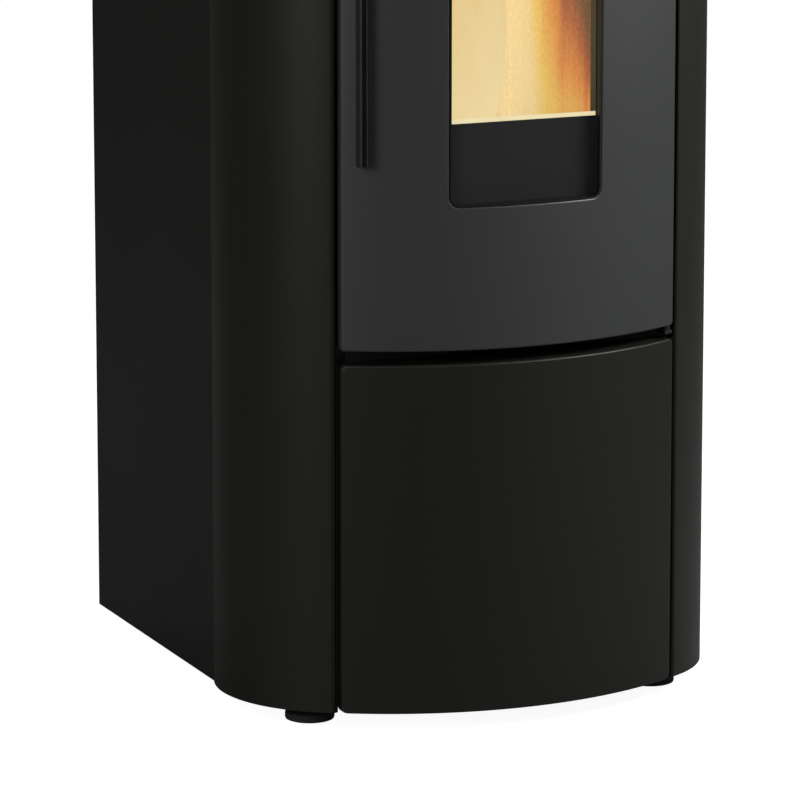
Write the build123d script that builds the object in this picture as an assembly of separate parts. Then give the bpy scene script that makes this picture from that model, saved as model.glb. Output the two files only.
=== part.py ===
"""Pellet stove with a bowed fire door, built as an assembly of separate pieces.

Millimetres, +Z up, front towards -Y. The origin is on the floor, under the middle of
the whole stove, flue outlet included.
"""
from build123d import *
import math
import os

# ---------------------------------------------------------------- casing
WIDTH = 540.0  # over the curved corner panels
BODY_DEPTH = 592.0  # front-most point of the bowed door to the rear panel
HEIGHT = 1150.0
FLOOR_GAP = 20.0  # floor to the lower edge of the casing
BOW_INSET = 82.6  # edges of the door and the lower panel inside the overall width
BOW_DEPTH = 51.0  # how far their middle stands in front of their edges
BOW_RETURN = 10.0  # folded edge of the bowed panels, front to rear
CORNER_RADIUS = 140.0
CORNER_AXIS_DEPTH = 181.0  # depth of the corner panels' axis behind the front
SEAM_DEPTH = 225.0  # depth of the seam between corner and side panels
SIDE_STEP = 8.0  # how far the side panels lie inside the corner panels
SIDE_GAP = 4.6  # air gap beside the door and the lower panel
DOOR_GAP = 14.0  # air gap above and below the door
PANEL_TOP = 388.0
PANEL_CORNER = 6.0
DOOR_CORNER = 2.5  # ends beside the hinge pins
COVER_HEIGHT = 38.0
SKIN = 2.0  # curved panels and door skin
SHEET = 1.5  # side panels, rear panel
SEAM_GAP = 1.2
CATCH_WIDTH = 12.0
CATCH_DEPTH = 8.0
CATCH_INSET = 30.0  # studs above and below the panel's ends
EAR_WIDTH = 15.0
PANEL_STUD_RADIUS = 3.0
STUD_SIDES = 12
FLANGE = 18.0  # folded flanges of the side and corner panels
PLAY = 0.3  # clearance around things that only pass by
RUNNING_FIT = 0.05  # radial clearance of pins and studs that turn or slide

# ---------------------------------------------------------------- frame
BASE_HEIGHT = 30.0
BASE_SHEET = 2.5
BASE_INSET = 4.0
BASE_FLANGE = 22.0
POST_DEPTH = 70.0  # face of the front posts behind the front
POST_WIDTH = 28.0
POST_INSET = 11.4  # inner edge of the front posts inside the door's edge
POST_SHEET = 2.0
REAR_POST_WIDTH = 26.0
TOP_FRAME_DROP = 2.0  # top frame below the rim of the panels
TOP_FRAME_SHEET = 2.0

# ---------------------------------------------------------------- feet
FOOT_INSET = 74.0  # from the side
FRONT_FOOT_DEPTH = 119.0
REAR_FOOT_INSET = 70.0
FOOT_RADIUS = 26.0
FOOT_PAD = 9.0
FOOT_BEVEL = 2.0
FOOT_NECK_RADIUS = 12.0
STUD_RADIUS = 5.0
FOOT_TRAVEL = 15.0
NUT_RADIUS = 9.5
NUT_HEIGHT = 9.0

# ---------------------------------------------------------------- door
WINDOW_INSET = 103.4  # from the door's edge
WINDOW_BOTTOM = 551.0
WINDOW_DROP = 165.0  # upper edge of the window below the top of the stove
WINDOW_CORNER = 10.0
TRIM_WALL = 1.5
GLASS_DEPTH = 17.5
GLASS_THICKNESS = 4.0
GLASS_LAP = 10.0
GLASS_GASKET = 3.0
NECK_WALL = 3.0
DOOR_PLATE = 3.0
DOOR_PLATE_DEPTH = 56.0
ROPE_RADIUS = 4.0
ROPE_MARGIN = 12.0
ROPE_CORNER = 20.0
HINGE_INSET = 6.9  # pin axis inside the door's edge
HINGE_DEPTH = 54.0
HINGE_PIN_RADIUS = 4.0
HINGE_PLATE = 3.0
HINGE_BLOCK = 22.0
PIN_REACH = 14.0

# ---------------------------------------------------------------- handle
HANDLE_INSET = 13.8  # middle of the blade inside the door's edge
HANDLE_WIDTH = 8.0
HANDLE_THICKNESS = 14.5
HANDLE_REACH = 23.0
HANDLE_BOTTOM = 595.0
HANDLE_EDGE = 1.2  # bevel along the blade
LATCH_INSET = 47.4  # shaft inside the door's edge
LATCH_DEPTH = 47.0
LATCH_SHAFT_RADIUS = 4.0
LATCH_COLLAR = 2.0
LATCH_HEIGHT = 20.0
LATCH_LUG = 5.0
LATCH_LUG_GAP = 14.0
ARM_THICKNESS = 6.0
HOOK_REACH = 31.0
HOOK_NOSE = 11.0
HOOK_THICKNESS = 6.0
HOOK_CLEARANCE = 0.7
KEEPER_WIDTH = 7.0
KEEPER_THICKNESS = 4.0

# ---------------------------------------------------------------- firebox
FIREBOX_INSET = 63.4  # side walls inside the door's edge
FIREBOX_REAR_SPACE = 292.0  # between its rear wall and the rear panel
FIREBOX_BOTTOM = 425.0
FIREBOX_DROP = 78.0  # its roof below the top of the stove
FIREBOX_WALL = 3.0
MOUTH_INSET = 24.0  # mouth inside the side walls
MOUTH_BOTTOM = 440.0
MOUTH_LAP = 15.0  # mouth above the window
TUBE_WALL = 1.5
TUBE_GAP = 17.5
TUBE_COUNT = 5
TUBE_MARGIN = 14.0  # outer tubes to the side walls
TUBE_DROP = 28.0
LINER = 20.0
LINER_BOTTOM = 560.0
BAFFLE_THICKNESS = 12.0
RIB_PITCH = 24.0
RIB_WIDTH = 12.0
RIB_DEPTH = 6.0
BRAZIER_WIDTH = 116.0
BRAZIER_LENGTH = 104.0
BRAZIER_HEIGHT = 78.0
BRAZIER_WALL = 3.0
BRAZIER_RIM = 8.0
AIR_SLOT = 5.0
AIR_SLOT_COUNT = 4
HOLDER_BOTTOM = 520.0
HOLDER_HEIGHT = 60.0
HOLDER_WALL = 3.0
DRAWER_INSET = 30.0  # inside the firebox's side walls
DRAWER_HEIGHT = 62.0
DRAWER_WALL = 1.5
IGNITER_RADIUS = 6.0
STAND_WIDTH = 40.0

# ---------------------------------------------------------------- hopper and auger
HOPPER_INSET = 110.0  # from the side
HOPPER_LENGTH = 183.0
HOPPER_REAR_SPACE = 64.0  # between the hopper and the rear panel
HOPPER_SHEET = 1.5
SHOULDER_DROP = 190.0  # below this the hopper's walls run together
THROAT_HALF = 38.0
THROAT_REAR_SPACE = 152.0  # middle of the throat to the rear panel
THROAT_LENGTH = 60.0
THROAT_HEIGHT = 700.0
RIM_WIDTH = 8.0
COLLAR_DROP = 12.0  # hopper's mouth below the top of the stove
LID_SHEET = 2.0
LID_SKIRT = 5.0
LID_GAP = 1.5
LID_REAR_GAP = 4.0
LID_MARGIN = 12.0
LID_AXIS_DROP = 10.0
LID_AXIS_INSET = 6.0
LID_PIN_RADIUS = 3.0
LID_LUG_INSET = 35.0  # from the hopper's side
LID_LUG_WIDTH = 12.0
LID_LUG_RADIUS = 5.0
SEAL_WIDTH = 6.0
AUGER_TILT = 40.0  # from upright, the head towards the fire
AUGER_LENGTH = 250.0
AUGER_BORE = 28.0
AUGER_WALL = 2.0
AUGER_REAR_SPACE = 177.0  # middle of its axis to the rear panel
AUGER_AXIS_HEIGHT = 640.0
SCREW_RADIUS = 26.0
SCREW_SHAFT = 8.0
SCREW_PITCH = 45.0
SCREW_BLADE = 3.0
SCREW_STEPS = 12  # sections of the blade per turn
CHUTE_HALF = 30.0
CHUTE_SHEET = 2.0
CHUTE_HEIGHT = 46.0
CHUTE_SLOPE = 50.0
CHUTE_LENGTH = 118.0
CHUTE_MIDDLE = 675.0  # height of its axis at the firebox's rear wall
MOTOR_RADIUS = 30.0
MOTOR_LENGTH = 46.0
GEARBOX = 70.0
GEARBOX_CORNER = 6.0
GEARBOX_THICKNESS = 34.0

# ---------------------------------------------------------------- exhaust side
FLUE_X = -110.0
FLUE_RADIUS = 40.0
FLUE_WALL = 1.5
FLUE_HEIGHT = 205.0
FLUE_LENGTH = 45.0  # how far it stands behind the rear panel
SPIGOT_START = 3.0  # its full size begins this far behind the rear panel
FAN_REAR_SPACE = 182.0  # axis to the rear panel
FAN_DROP = 55.0  # axis below the flue's axis
FAN_RADIUS = 95.0
FAN_WIDTH = 64.0
FAN_SHEET = 2.0
FAN_INLET = 42.0
IMPELLER_RADIUS = 78.0
IMPELLER_BLADES = 10
IMPELLER_BLADE = 2.0
DUCT_DEPTH = 42.0
DUCT_DROP = 125.0  # its top below the top of the stove
DUCT_SHEET = 2.0
EXHAUST_MOTOR_RADIUS = 42.0
EXHAUST_MOTOR_LENGTH = 60.0
INTAKE_INSET = 34.0  # inside the firebox's right wall
INTAKE_RADIUS = 25.0
INTAKE_HEIGHT = 470.0
INTAKE_LENGTH = 30.0
INTAKE_WALL = 1.5

# ---------------------------------------------------------------- room fan
ROOM_FAN_LEFT = 30.0
ROOM_FAN_LENGTH = 150.0
ROOM_FAN_REAR_SPACE = 122.0
ROOM_FAN_HEIGHT = 110.0
ROOM_FAN_RADIUS = 45.0
ROOM_FAN_ROTOR = 34.0
ROOM_FAN_BLADES = 12
ROOM_FAN_BLADE = 1.5
BLADE_TURN = 30.0
ROOM_MOTOR_RADIUS = 28.0
ROOM_MOTOR_LENGTH = 30.0

# ---------------------------------------------------------------- controls and rear
BOARD_HEIGHT = 320.0
BOARD_REAR_SPACE = 262.0
BOARD_LENGTH = 150.0
BOARD_TALL = 110.0
BOARD_THICKNESS = 1.6
STANDOFF = 12.0
BOARD_MARGIN = 8.0
DISPLAY_INSET = 56.0  # from the side
DISPLAY_WIDTH = 46.0
DISPLAY_LENGTH = 150.0
DISPLAY_REAR_SPACE = 162.0
DISPLAY_THICKNESS = 4.0
DISPLAY_LIP = 2.0
BUTTON_RADIUS = 6.0
BUTTON_PITCH = 24.0
BUTTON_TRAVEL = 1.5
BUTTON_PROUD = 1.2
SLOT_WIDTH = 7.0
SLOT_LENGTH = 230.0
SLOT_PITCH = 14.0
SLOT_COUNT = 5
SLOT_DEPTH = 120.0  # middle of the warm air slots behind the front
COVER_BEVEL = 0.6  # sheet edge of the cover
LOUVRE_WIDTH = 70.0
LOUVRE_HEIGHT = 5.0
LOUVRE_PITCH_X = 95.0
LOUVRE_PITCH_Z = 16.0
LOUVRE_COLUMNS = 3
LOUVRE_ROWS = 8
LOUVRE_LOW = 300.0
INLET_INSET = 65.0  # from the side
INLET_HEIGHT = 110.0
INLET_WIDTH = 28.0
INLET_TALL = 48.0
INLET_BODY = 24.0
SWITCH_WIDTH = 19.0
SWITCH_TALL = 13.0
SWITCH_DROP = 48.0
SWITCH_TILT = 8.0
ROCKER_FACE = 3.0
ROCKER_PIN_RADIUS = 1.2
SCREW_HEAD_RADIUS = 4.0
SCREW_HEAD = 2.5
SCREW_COUNT = 4
DRUM_SIDES = 24  # flats of tubes, pressed drums, pads and motor cans

# ---------------------------------------------------------------- worked out
FRONT = -(BODY_DEPTH + FLUE_LENGTH) / 2
REAR = FRONT + BODY_DEPTH
BOW_HALF = WIDTH / 2 - BOW_INSET
BOW_RADIUS = (BOW_HALF**2 + BOW_DEPTH**2) / (2 * BOW_DEPTH)
BOW_REAR = FRONT + BOW_DEPTH + BOW_RETURN
SIDE_X = WIDTH / 2 - SIDE_STEP
FOOT_X = WIDTH / 2 - FOOT_INSET
POST_INNER = BOW_HALF - POST_INSET
HINGE_X = BOW_HALF - HINGE_INSET
HANDLE_X = HANDLE_INSET - BOW_HALF
LATCH_X = LATCH_INSET - BOW_HALF
WINDOW_HALF = BOW_HALF - WINDOW_INSET
WINDOW_TOP = HEIGHT - WINDOW_DROP
CORNER_X = WIDTH / 2 - CORNER_RADIUS
CORNER_Y = FRONT + CORNER_AXIS_DEPTH
CORNER_EDGE_X = BOW_HALF + SIDE_GAP
SEAM_Y = FRONT + SEAM_DEPTH
POST_Y = FRONT + POST_DEPTH
PANELS_TOP = HEIGHT - COVER_HEIGHT
DOOR_BOTTOM = PANEL_TOP + DOOR_GAP
DOOR_TOP = PANELS_TOP - DOOR_GAP
FRAME_TOP = PANELS_TOP - TOP_FRAME_DROP
FRAME_UNDER = FRAME_TOP - TOP_FRAME_SHEET
FLOOR_TOP = BASE_HEIGHT + BASE_SHEET
FOOT_PLACES = {
    "foot_front_left": (-FOOT_X, FRONT + FRONT_FOOT_DEPTH),
    "foot_front_right": (FOOT_X, FRONT + FRONT_FOOT_DEPTH),
    "foot_rear_left": (-FOOT_X, REAR - REAR_FOOT_INSET),
    "foot_rear_right": (FOOT_X, REAR - REAR_FOOT_INSET),
}
HANDLE_TOP = WINDOW_TOP
MAIN_MIDDLE = (HANDLE_BOTTOM + HANDLE_TOP) / 2
HINGE_Y = FRONT + HINGE_DEPTH
DOOR_PLATE_Y = FRONT + DOOR_PLATE_DEPTH
DOOR_REAR = DOOR_PLATE_Y + DOOR_PLATE
GLASS_Y = FRONT + GLASS_DEPTH
GLASS_REAR = GLASS_Y + GLASS_THICKNESS
NECK_Y = GLASS_REAR + GLASS_GASKET
MOUTH_Y = DOOR_REAR + 2 * ROPE_RADIUS + PLAY  # face of the firebox front plate
LATCH_Y = FRONT + LATCH_DEPTH
FIREBOX_HALF = BOW_HALF - FIREBOX_INSET
FIREBOX_REAR = REAR - FIREBOX_REAR_SPACE
FIREBOX_TOP = HEIGHT - FIREBOX_DROP
MOUTH_HALF = FIREBOX_HALF - MOUTH_INSET
MOUTH_TOP = WINDOW_TOP + MOUTH_LAP
BAFFLE_HEIGHT = WINDOW_TOP
TUBE_RUN = 2 * (FIREBOX_HALF - TUBE_MARGIN) + TUBE_GAP
TUBE_PITCH = TUBE_RUN / TUBE_COUNT
TUBE_RADIUS = (TUBE_PITCH - TUBE_GAP) / 2
DRAWER_HALF = FIREBOX_HALF - DRAWER_INSET
GRATE_Y = (POST_Y + FIREBOX_REAR) / 2
INTAKE_X = FIREBOX_HALF - INTAKE_INSET
FAN_Y = REAR - FAN_REAR_SPACE
FAN_Z = FLUE_HEIGHT - FAN_DROP
FAN_LEFT = FLUE_X - FAN_WIDTH / 2
FAN_RIGHT = FLUE_X + FAN_WIDTH / 2
FAN_END = FAN_Y + FAN_RADIUS + 2 * FAN_SHEET
DUCT_TOP = HEIGHT - DUCT_DROP
AUGER_Y = REAR - AUGER_REAR_SPACE
AUGER_FRAME = Pos(0, AUGER_Y, AUGER_AXIS_HEIGHT) * Rot(AUGER_TILT, 0, 0)
HOPPER_HALF = WIDTH / 2 - HOPPER_INSET
HOPPER_REAR = REAR - HOPPER_REAR_SPACE
HOPPER_FRONT = HOPPER_REAR - HOPPER_LENGTH
HOPPER_SHOULDER = HEIGHT - SHOULDER_DROP
THROAT_Y = REAR - THROAT_REAR_SPACE
COLLAR_TOP = HEIGHT - COLLAR_DROP
LID_UNDER = HEIGHT - LID_SHEET
LID_HALF = HOPPER_HALF + LID_MARGIN
LID_FRONT = HOPPER_FRONT - LID_MARGIN
LID_REAR = HOPPER_REAR + 2 * LID_MARGIN
LID_AXIS_Y = LID_REAR - LID_AXIS_INSET
LID_AXIS_Z = HEIGHT - LID_AXIS_DROP
LID_LUG_X = HOPPER_HALF - LID_LUG_INSET
ROOM_FAN_Y = REAR - ROOM_FAN_REAR_SPACE
BOARD_Y = REAR - BOARD_REAR_SPACE
DISPLAY_X = WIDTH / 2 - DISPLAY_INSET
DISPLAY_Y = REAR - DISPLAY_REAR_SPACE
INLET_X = WIDTH / 2 - INLET_INSET
SWITCH_Z = INLET_HEIGHT - SWITCH_DROP


# ---------------------------------------------------------------- helpers
def block(x0, x1, y0, y1, z0, z1):
    """Box between two opposite corners."""
    middle = Pos((x0 + x1) / 2, (y0 + y1) / 2, (z0 + z1) / 2)
    return middle * Box(x1 - x0, y1 - y0, z1 - z0)


def rod_x(x0, x1, y, z, radius):
    """Cylinder along X."""
    return Pos((x0 + x1) / 2, y, z) * Rot(0, 90, 0) * Cylinder(radius, x1 - x0)


def rod_y(x, y0, y1, z, radius):
    """Cylinder along Y."""
    return Pos(x, (y0 + y1) / 2, z) * Rot(90, 0, 0) * Cylinder(radius, y1 - y0)


def rod_z(x, y, z0, z1, radius):
    """Cylinder along Z."""
    return Pos(x, y, (z0 + z1) / 2) * Cylinder(radius, z1 - z0)


def drum_x(x0, x1, y, z, radius, sides=DRUM_SIDES):
    """Many-sided can along X."""
    face = RegularPolygon(radius, sides)
    return Pos(x0, y, z) * Rot(0, 90, 0) * extrude(face, x1 - x0)


def drum_y(x, y0, y1, z, radius, sides=DRUM_SIDES):
    """Many-sided can along Y."""
    face = RegularPolygon(radius, sides)
    return Pos(x, y1, z) * Rot(90, 0, 0) * extrude(face, y1 - y0)


def drum_z(x, y, z0, z1, radius, sides=DRUM_SIDES):
    """Many-sided can along Z."""
    return Pos(x, y, z0) * extrude(RegularPolygon(radius, sides), z1 - z0)


def tablet_y(half, z0, z1, radius, y0, y1):
    """Upright plate with rounded corners, from y0 back to y1."""
    face = RectangleRounded(2 * half, z1 - z0, radius)
    return Pos(0, y1, (z0 + z1) / 2) * Rot(90, 0, 0) * extrude(face, y1 - y0)


def bow_y(x, inset=0.0):
    """Depth of the bowed front, or of the same arc moved inwards, at x."""
    return FRONT + inset + BOW_RADIUS - math.sqrt(BOW_RADIUS**2 - x**2)


def bow_solid(half, inset, rear, z0, z1):
    """Solid between the bowed front and a flat rear face."""
    edge_y = bow_y(half, inset)
    arc = ThreePointArc((-half, edge_y), (0, FRONT + inset), (half, edge_y))
    back = Polyline((half, edge_y), (half, rear), (-half, rear), (-half, edge_y))
    return Pos(0, 0, z0) * extrude(make_face([arc, back]), z1 - z0)


def bow_pan(z0, z1, corner):
    """Bowed sheet with its four edges folded back."""
    outer = bow_solid(BOW_HALF, 0, BOW_REAR, z0, z1)
    inner = bow_solid(BOW_HALF - SKIN, SKIN, BOW_REAR + 1, z0 + SKIN, z1 - SKIN)
    mask = tablet_y(BOW_HALF, z0, z1, corner, FRONT - 1, BOW_REAR + 1)
    return (outer - inner) & mask


def corner_point(x, inset=0.0):
    """Point of the right corner panel's arc at x."""
    radius = CORNER_RADIUS - inset
    return (x, CORNER_Y - math.sqrt(radius**2 - (x - CORNER_X) ** 2))


def seam_point(inset=0.0):
    """Rear end of the right corner panel's arc."""
    radius = CORNER_RADIUS - inset
    drop = SEAM_Y - CORNER_Y
    return (CORNER_X + math.sqrt(radius**2 - drop**2), SEAM_Y)


def corner_middle(inset=0.0):
    """Point half way round the right corner panel's arc."""
    radius = (CORNER_RADIUS - inset) * math.sqrt(0.5)
    return (CORNER_X + radius, CORNER_Y - radius)


def body_outline(inset):
    """Plan of the whole casing, moved inwards, as a face."""
    right_edge = corner_point(CORNER_EDGE_X)
    left_edge = (-right_edge[0], right_edge[1])
    seam = seam_point()
    middle = corner_middle()
    bow_edge = bow_y(BOW_HALF)
    front = ThreePointArc((-BOW_HALF, bow_edge), (0, FRONT), (BOW_HALF, bow_edge))
    right = ThreePointArc(right_edge, middle, seam)
    left = ThreePointArc(left_edge, (-middle[0], middle[1]), (-seam[0], seam[1]))
    links = [
        Line((BOW_HALF, bow_edge), right_edge),
        Line((-BOW_HALF, bow_edge), left_edge),
        Polyline(seam, (SIDE_X, REAR), (-SIDE_X, REAR), (-seam[0], seam[1])),
    ]
    face = make_face([front, right, left] + links)
    return offset(face, -inset) if inset else face


def slab(face, z0, z1):
    """A plan face given its height."""
    return Pos(0, 0, z0) * extrude(face, z1 - z0)


def mirrored(shape):
    """The same shape on the other side of the stove."""
    return mirror(shape, Plane.YZ)


def save(name, shape):
    """Write one piece."""
    export_step(shape, f"parts/{name}.step")


# ---------------------------------------------------------------- frame
def seam_notches():
    """Room for the folded edges of the corner and side panels."""
    start = CORNER_EDGE_X
    edge = block(start - PLAY, start + SKIN + PLAY, FRONT, POST_Y + PLAY, 0, HEIGHT)
    inner = SIDE_X - FLANGE - PLAY
    notch = block(inner, WIDTH, SEAM_Y - SKIN - PLAY, SEAM_Y + SEAM_GAP + SHEET + PLAY, 0, HEIGHT)
    return notch + mirrored(notch) + edge + mirrored(edge)


def base_plate():
    """Floor of the stove, edges folded up, with a nut for each foot."""
    outer = slab(body_outline(BASE_INSET), BASE_HEIGHT, BASE_HEIGHT + BASE_FLANGE)
    inner = slab(body_outline(BASE_INSET + BASE_SHEET), FLOOR_TOP, HEIGHT)
    notch_half = POST_INNER + POST_WIDTH + PLAY
    notch = block(-notch_half, notch_half, FRONT - 1, POST_Y + POST_WIDTH, FLOOR_TOP, HEIGHT)
    plate = outer - inner - notch
    plate -= block(-SIDE_X, SIDE_X, FRONT - 1, POST_Y, 0, HEIGHT)
    plate -= seam_notches()
    for x, y in FOOT_PLACES.values():
        nut = extrude(RegularPolygon(NUT_RADIUS, 6), NUT_HEIGHT)
        plate += Pos(x, y, FLOOR_TOP) * nut
        plate -= rod_z(x, y, 0, HEIGHT, STUD_RADIUS + RUNNING_FIT)
    return plate


def angle_post(x, y, width, side_x, side_y, top):
    """Upright angle whose two legs run from its corner at x, y."""
    reach_x = x + side_x * width
    reach_y = y + side_y * width
    sheet_x = x + side_x * POST_SHEET
    sheet_y = y + side_y * POST_SHEET
    leg = block(min(x, reach_x), max(x, reach_x), min(y, sheet_y), max(y, sheet_y),
                FLOOR_TOP, top)
    other = block(min(x, sheet_x), max(x, sheet_x), min(y, reach_y), max(y, reach_y),
                  FLOOR_TOP, top)
    return leg + other


def catch_places():
    """Where the lower panel snaps on, as x, z pairs of the right side."""
    low = FLOOR_GAP + CATCH_INSET
    high = PANEL_TOP - CATCH_INSET
    return [(HINGE_X, low), (HINGE_X, high)]


def frame_posts():
    """Four upright angles that carry the casing."""
    front = angle_post(POST_INNER, POST_Y, POST_WIDTH, 1, 1, FRAME_UNDER)
    rear_x = SIDE_X - SHEET
    rear_y = REAR - SHEET
    rear = angle_post(rear_x, rear_y, REAR_POST_WIDTH, -1, -1, FRAME_UNDER)
    return [front, mirrored(front), rear, mirrored(rear)]


def panel_catches():
    """Snap catches on the front posts that take the lower panel's studs."""
    half = CATCH_WIDTH / 2
    face = POST_Y - CATCH_DEPTH
    pieces = []
    for x, z in catch_places():
        catch = block(x - half, x + half, face, POST_Y, z - half, z + half)
        catch -= drum_y(x, face, POST_Y, z, PANEL_STUD_RADIUS + PLAY, STUD_SIDES)
        pieces += [catch, mirrored(catch)]
    return pieces


def top_frame():
    """Sheet that ties the posts together under the top cover."""
    plate = slab(body_outline(BASE_INSET), FRAME_UNDER, FRAME_TOP)
    plate -= block(-HOPPER_HALF - PLAY, HOPPER_HALF + PLAY, HOPPER_FRONT - PLAY,
                   HOPPER_REAR + PLAY, FLOOR_GAP, HEIGHT)
    plate -= slot_field(FLOOR_GAP, HEIGHT, SLOT_PITCH)
    plate -= seam_notches()
    return plate - display_block(PLAY, FLOOR_GAP, HEIGHT)


def slot_field(z0, z1, extra=0.0):
    """Block as large as the field of warm air slots."""
    half_depth = ((SLOT_COUNT - 1) * SLOT_PITCH + SLOT_WIDTH) / 2 + extra
    half = SLOT_LENGTH / 2 + extra
    middle = FRONT + SLOT_DEPTH
    return block(-half, half, middle - half_depth, middle + half_depth, z0, z1)


def display_block(margin, z0, z1):
    """Block as large as the display's housing."""
    return block(DISPLAY_X - DISPLAY_WIDTH / 2 - margin, DISPLAY_X + DISPLAY_WIDTH / 2 + margin,
                 DISPLAY_Y - DISPLAY_LENGTH / 2 - margin,
                 DISPLAY_Y + DISPLAY_LENGTH / 2 + margin, z0, z1)


def foot(x, y):
    """Levelling foot: pad, neck and threaded stud."""
    pad = drum_z(x, y, 0, FOOT_PAD, FOOT_RADIUS)
    pad = chamfer(pad.edges().group_by(Axis.Z)[-1], FOOT_BEVEL)
    neck = drum_z(x, y, FOOT_PAD, FLOOR_GAP, FOOT_NECK_RADIUS)
    stud_top = FLOOR_TOP + NUT_HEIGHT + FOOT_TRAVEL
    return pad + neck + rod_z(x, y, FLOOR_GAP, stud_top, STUD_RADIUS)


# ---------------------------------------------------------------- casing
def corner_panel():
    """Curved sheet of the right corner, both edges folded in."""
    start = corner_point(CORNER_EDGE_X)
    inner_start = corner_point(CORNER_EDGE_X, SKIN)
    outer = ThreePointArc(start, corner_middle(), seam_point())
    inner = ThreePointArc(seam_point(SKIN), corner_middle(SKIN), inner_start)
    face = make_face([outer, inner, Line(seam_point(), seam_point(SKIN)),
                      Line(inner_start, start)])
    sheet = slab(face, FLOOR_GAP, PANELS_TOP)
    edge = block(start[0], start[0] + SKIN, start[1] + SKIN / 2, POST_Y, FLOOR_GAP, PANELS_TOP)
    edge += block(BOW_HALF + SEAM_GAP, start[0] + SKIN, start[1] + SKIN, start[1] + 2 * SKIN,
                  FLOOR_GAP, PANEL_TOP)
    seam_x = seam_point(SKIN / 2)[0]
    fold = block(seam_x - FLANGE, seam_x, SEAM_Y - SKIN, SEAM_Y, FLOOR_GAP, PANELS_TOP)
    return sheet + edge + fold


def side_panel():
    """Flat sheet of the right side, folded in at the seam."""
    start = SEAM_Y + SEAM_GAP
    sheet = block(SIDE_X - SHEET, SIDE_X, start, REAR, FLOOR_GAP, PANELS_TOP)
    fold = block(SIDE_X - FLANGE, SIDE_X, start, start + SHEET, FLOOR_GAP, PANELS_TOP)
    return sheet + fold


def louvre_places():
    """Centres of the rear louvres, as x, z pairs."""
    columns = [LOUVRE_PITCH_X * (i - (LOUVRE_COLUMNS - 1) / 2) for i in range(LOUVRE_COLUMNS)]
    rows = [LOUVRE_LOW + LOUVRE_PITCH_Z * i for i in range(LOUVRE_ROWS)]
    return [(x, z) for x in columns for z in rows]


def rear_panel():
    """Rear sheet with flue and air holes, louvres, inlet and switch."""
    half = SIDE_X - SHEET
    sheet = block(-half, half, REAR - SHEET, REAR, FLOOR_GAP, PANELS_TOP)
    neck = FLUE_RADIUS - FLUE_WALL + PLAY
    sheet -= rod_y(FLUE_X, FRONT, REAR + 1, FLUE_HEIGHT, neck)
    neck = INTAKE_RADIUS - INTAKE_WALL + PLAY
    sheet -= rod_y(INTAKE_X, FRONT, REAR + 1, INTAKE_HEIGHT, neck)
    for x, z in louvre_places():
        sheet -= block(x - LOUVRE_WIDTH / 2, x + LOUVRE_WIDTH / 2, FRONT, REAR + 1,
                       z - LOUVRE_HEIGHT / 2, z + LOUVRE_HEIGHT / 2)
    sheet -= block(INLET_X - INLET_WIDTH / 2, INLET_X + INLET_WIDTH / 2, FRONT, REAR + 1,
                   INLET_HEIGHT - INLET_TALL / 2, INLET_HEIGHT + INLET_TALL / 2)
    sheet -= switch_block(2 * SHEET, FRONT, REAR + 1)
    for x, z in screw_places():
        sheet -= drum_y(x, FRONT, REAR + 1, z, SCREW_HEAD_RADIUS / 2, 6)
    return sheet


def switch_block(margin, y0, y1):
    """Block as large as the rocker."""
    return block(INLET_X - SWITCH_WIDTH / 2 - margin, INLET_X + SWITCH_WIDTH / 2 + margin, y0, y1,
                 SWITCH_Z - SWITCH_TALL / 2 - margin, SWITCH_Z + SWITCH_TALL / 2 + margin)


def screw_places():
    """Screws down both sides of the rear panel, as x, z pairs."""
    x = SIDE_X - SHEET - REAR_POST_WIDTH / 2
    low = FLOOR_GAP + 2 * REAR_POST_WIDTH
    step = (PANELS_TOP - 2 * REAR_POST_WIDTH - low) / (SCREW_COUNT - 1)
    return [(side * x, low + step * i) for side in (-1, 1) for i in range(SCREW_COUNT)]


def casing_screws():
    """Hexagon screws of the rear panel."""
    pieces = []
    for x, z in screw_places():
        head = drum_y(x, REAR, REAR + SCREW_HEAD, z, SCREW_HEAD_RADIUS, 6)
        shank = drum_y(x, REAR - SHEET, REAR, z, SCREW_HEAD_RADIUS / 2, 6)
        pieces.append(head + shank)
    return pieces


def top_cover():
    """Top of the casing with warm air slots and openings for lid and display."""
    cover = slab(body_outline(0), PANELS_TOP, HEIGHT)
    cover -= slab(body_outline(SKIN), PANELS_TOP - 1, HEIGHT - SKIN)
    cover = chamfer(cover.faces().sort_by(Axis.Z)[-1].edges(), COVER_BEVEL)
    for i in range(SLOT_COUNT):
        y = FRONT + SLOT_DEPTH + SLOT_PITCH * (i - (SLOT_COUNT - 1) / 2)
        slot = extrude(SlotOverall(SLOT_LENGTH, SLOT_WIDTH), HEIGHT)
        cover -= Pos(0, y, 0) * slot
    cover -= block(-LID_HALF - LID_GAP, LID_HALF + LID_GAP, LID_FRONT - LID_GAP,
                   LID_REAR + LID_REAR_GAP, 0, HEIGHT + 1)
    return cover - display_block(0, 0, HEIGHT + 1)


# ---------------------------------------------------------------- lower panel
def lower_panel():
    """Bowed service panel with four snap studs on folded ears."""
    panel = bow_pan(FLOOR_GAP, PANEL_TOP, PANEL_CORNER)
    half = EAR_WIDTH / 2
    inner = BOW_HALF - SKIN / 2
    for side in (-1, 1):
        ends = sorted((side * (inner - EAR_WIDTH), side * inner))
        for x, z in catch_places():
            panel += block(ends[0], ends[1], BOW_REAR - SKIN, BOW_REAR, z - half, z + half)
            panel += drum_y(side * x, BOW_REAR, POST_Y - PLAY, z, PANEL_STUD_RADIUS, STUD_SIDES)
    return panel


# ---------------------------------------------------------------- door
def hinge_places():
    """Levels of the two hinges: plate, pin end, door edge."""
    low = DOOR_BOTTOM - DOOR_GAP / 2 - HINGE_PLATE / 2
    high = DOOR_TOP + DOOR_GAP / 2 - HINGE_PLATE / 2
    return [(low, DOOR_BOTTOM, 1), (high, DOOR_TOP, -1)]


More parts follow.
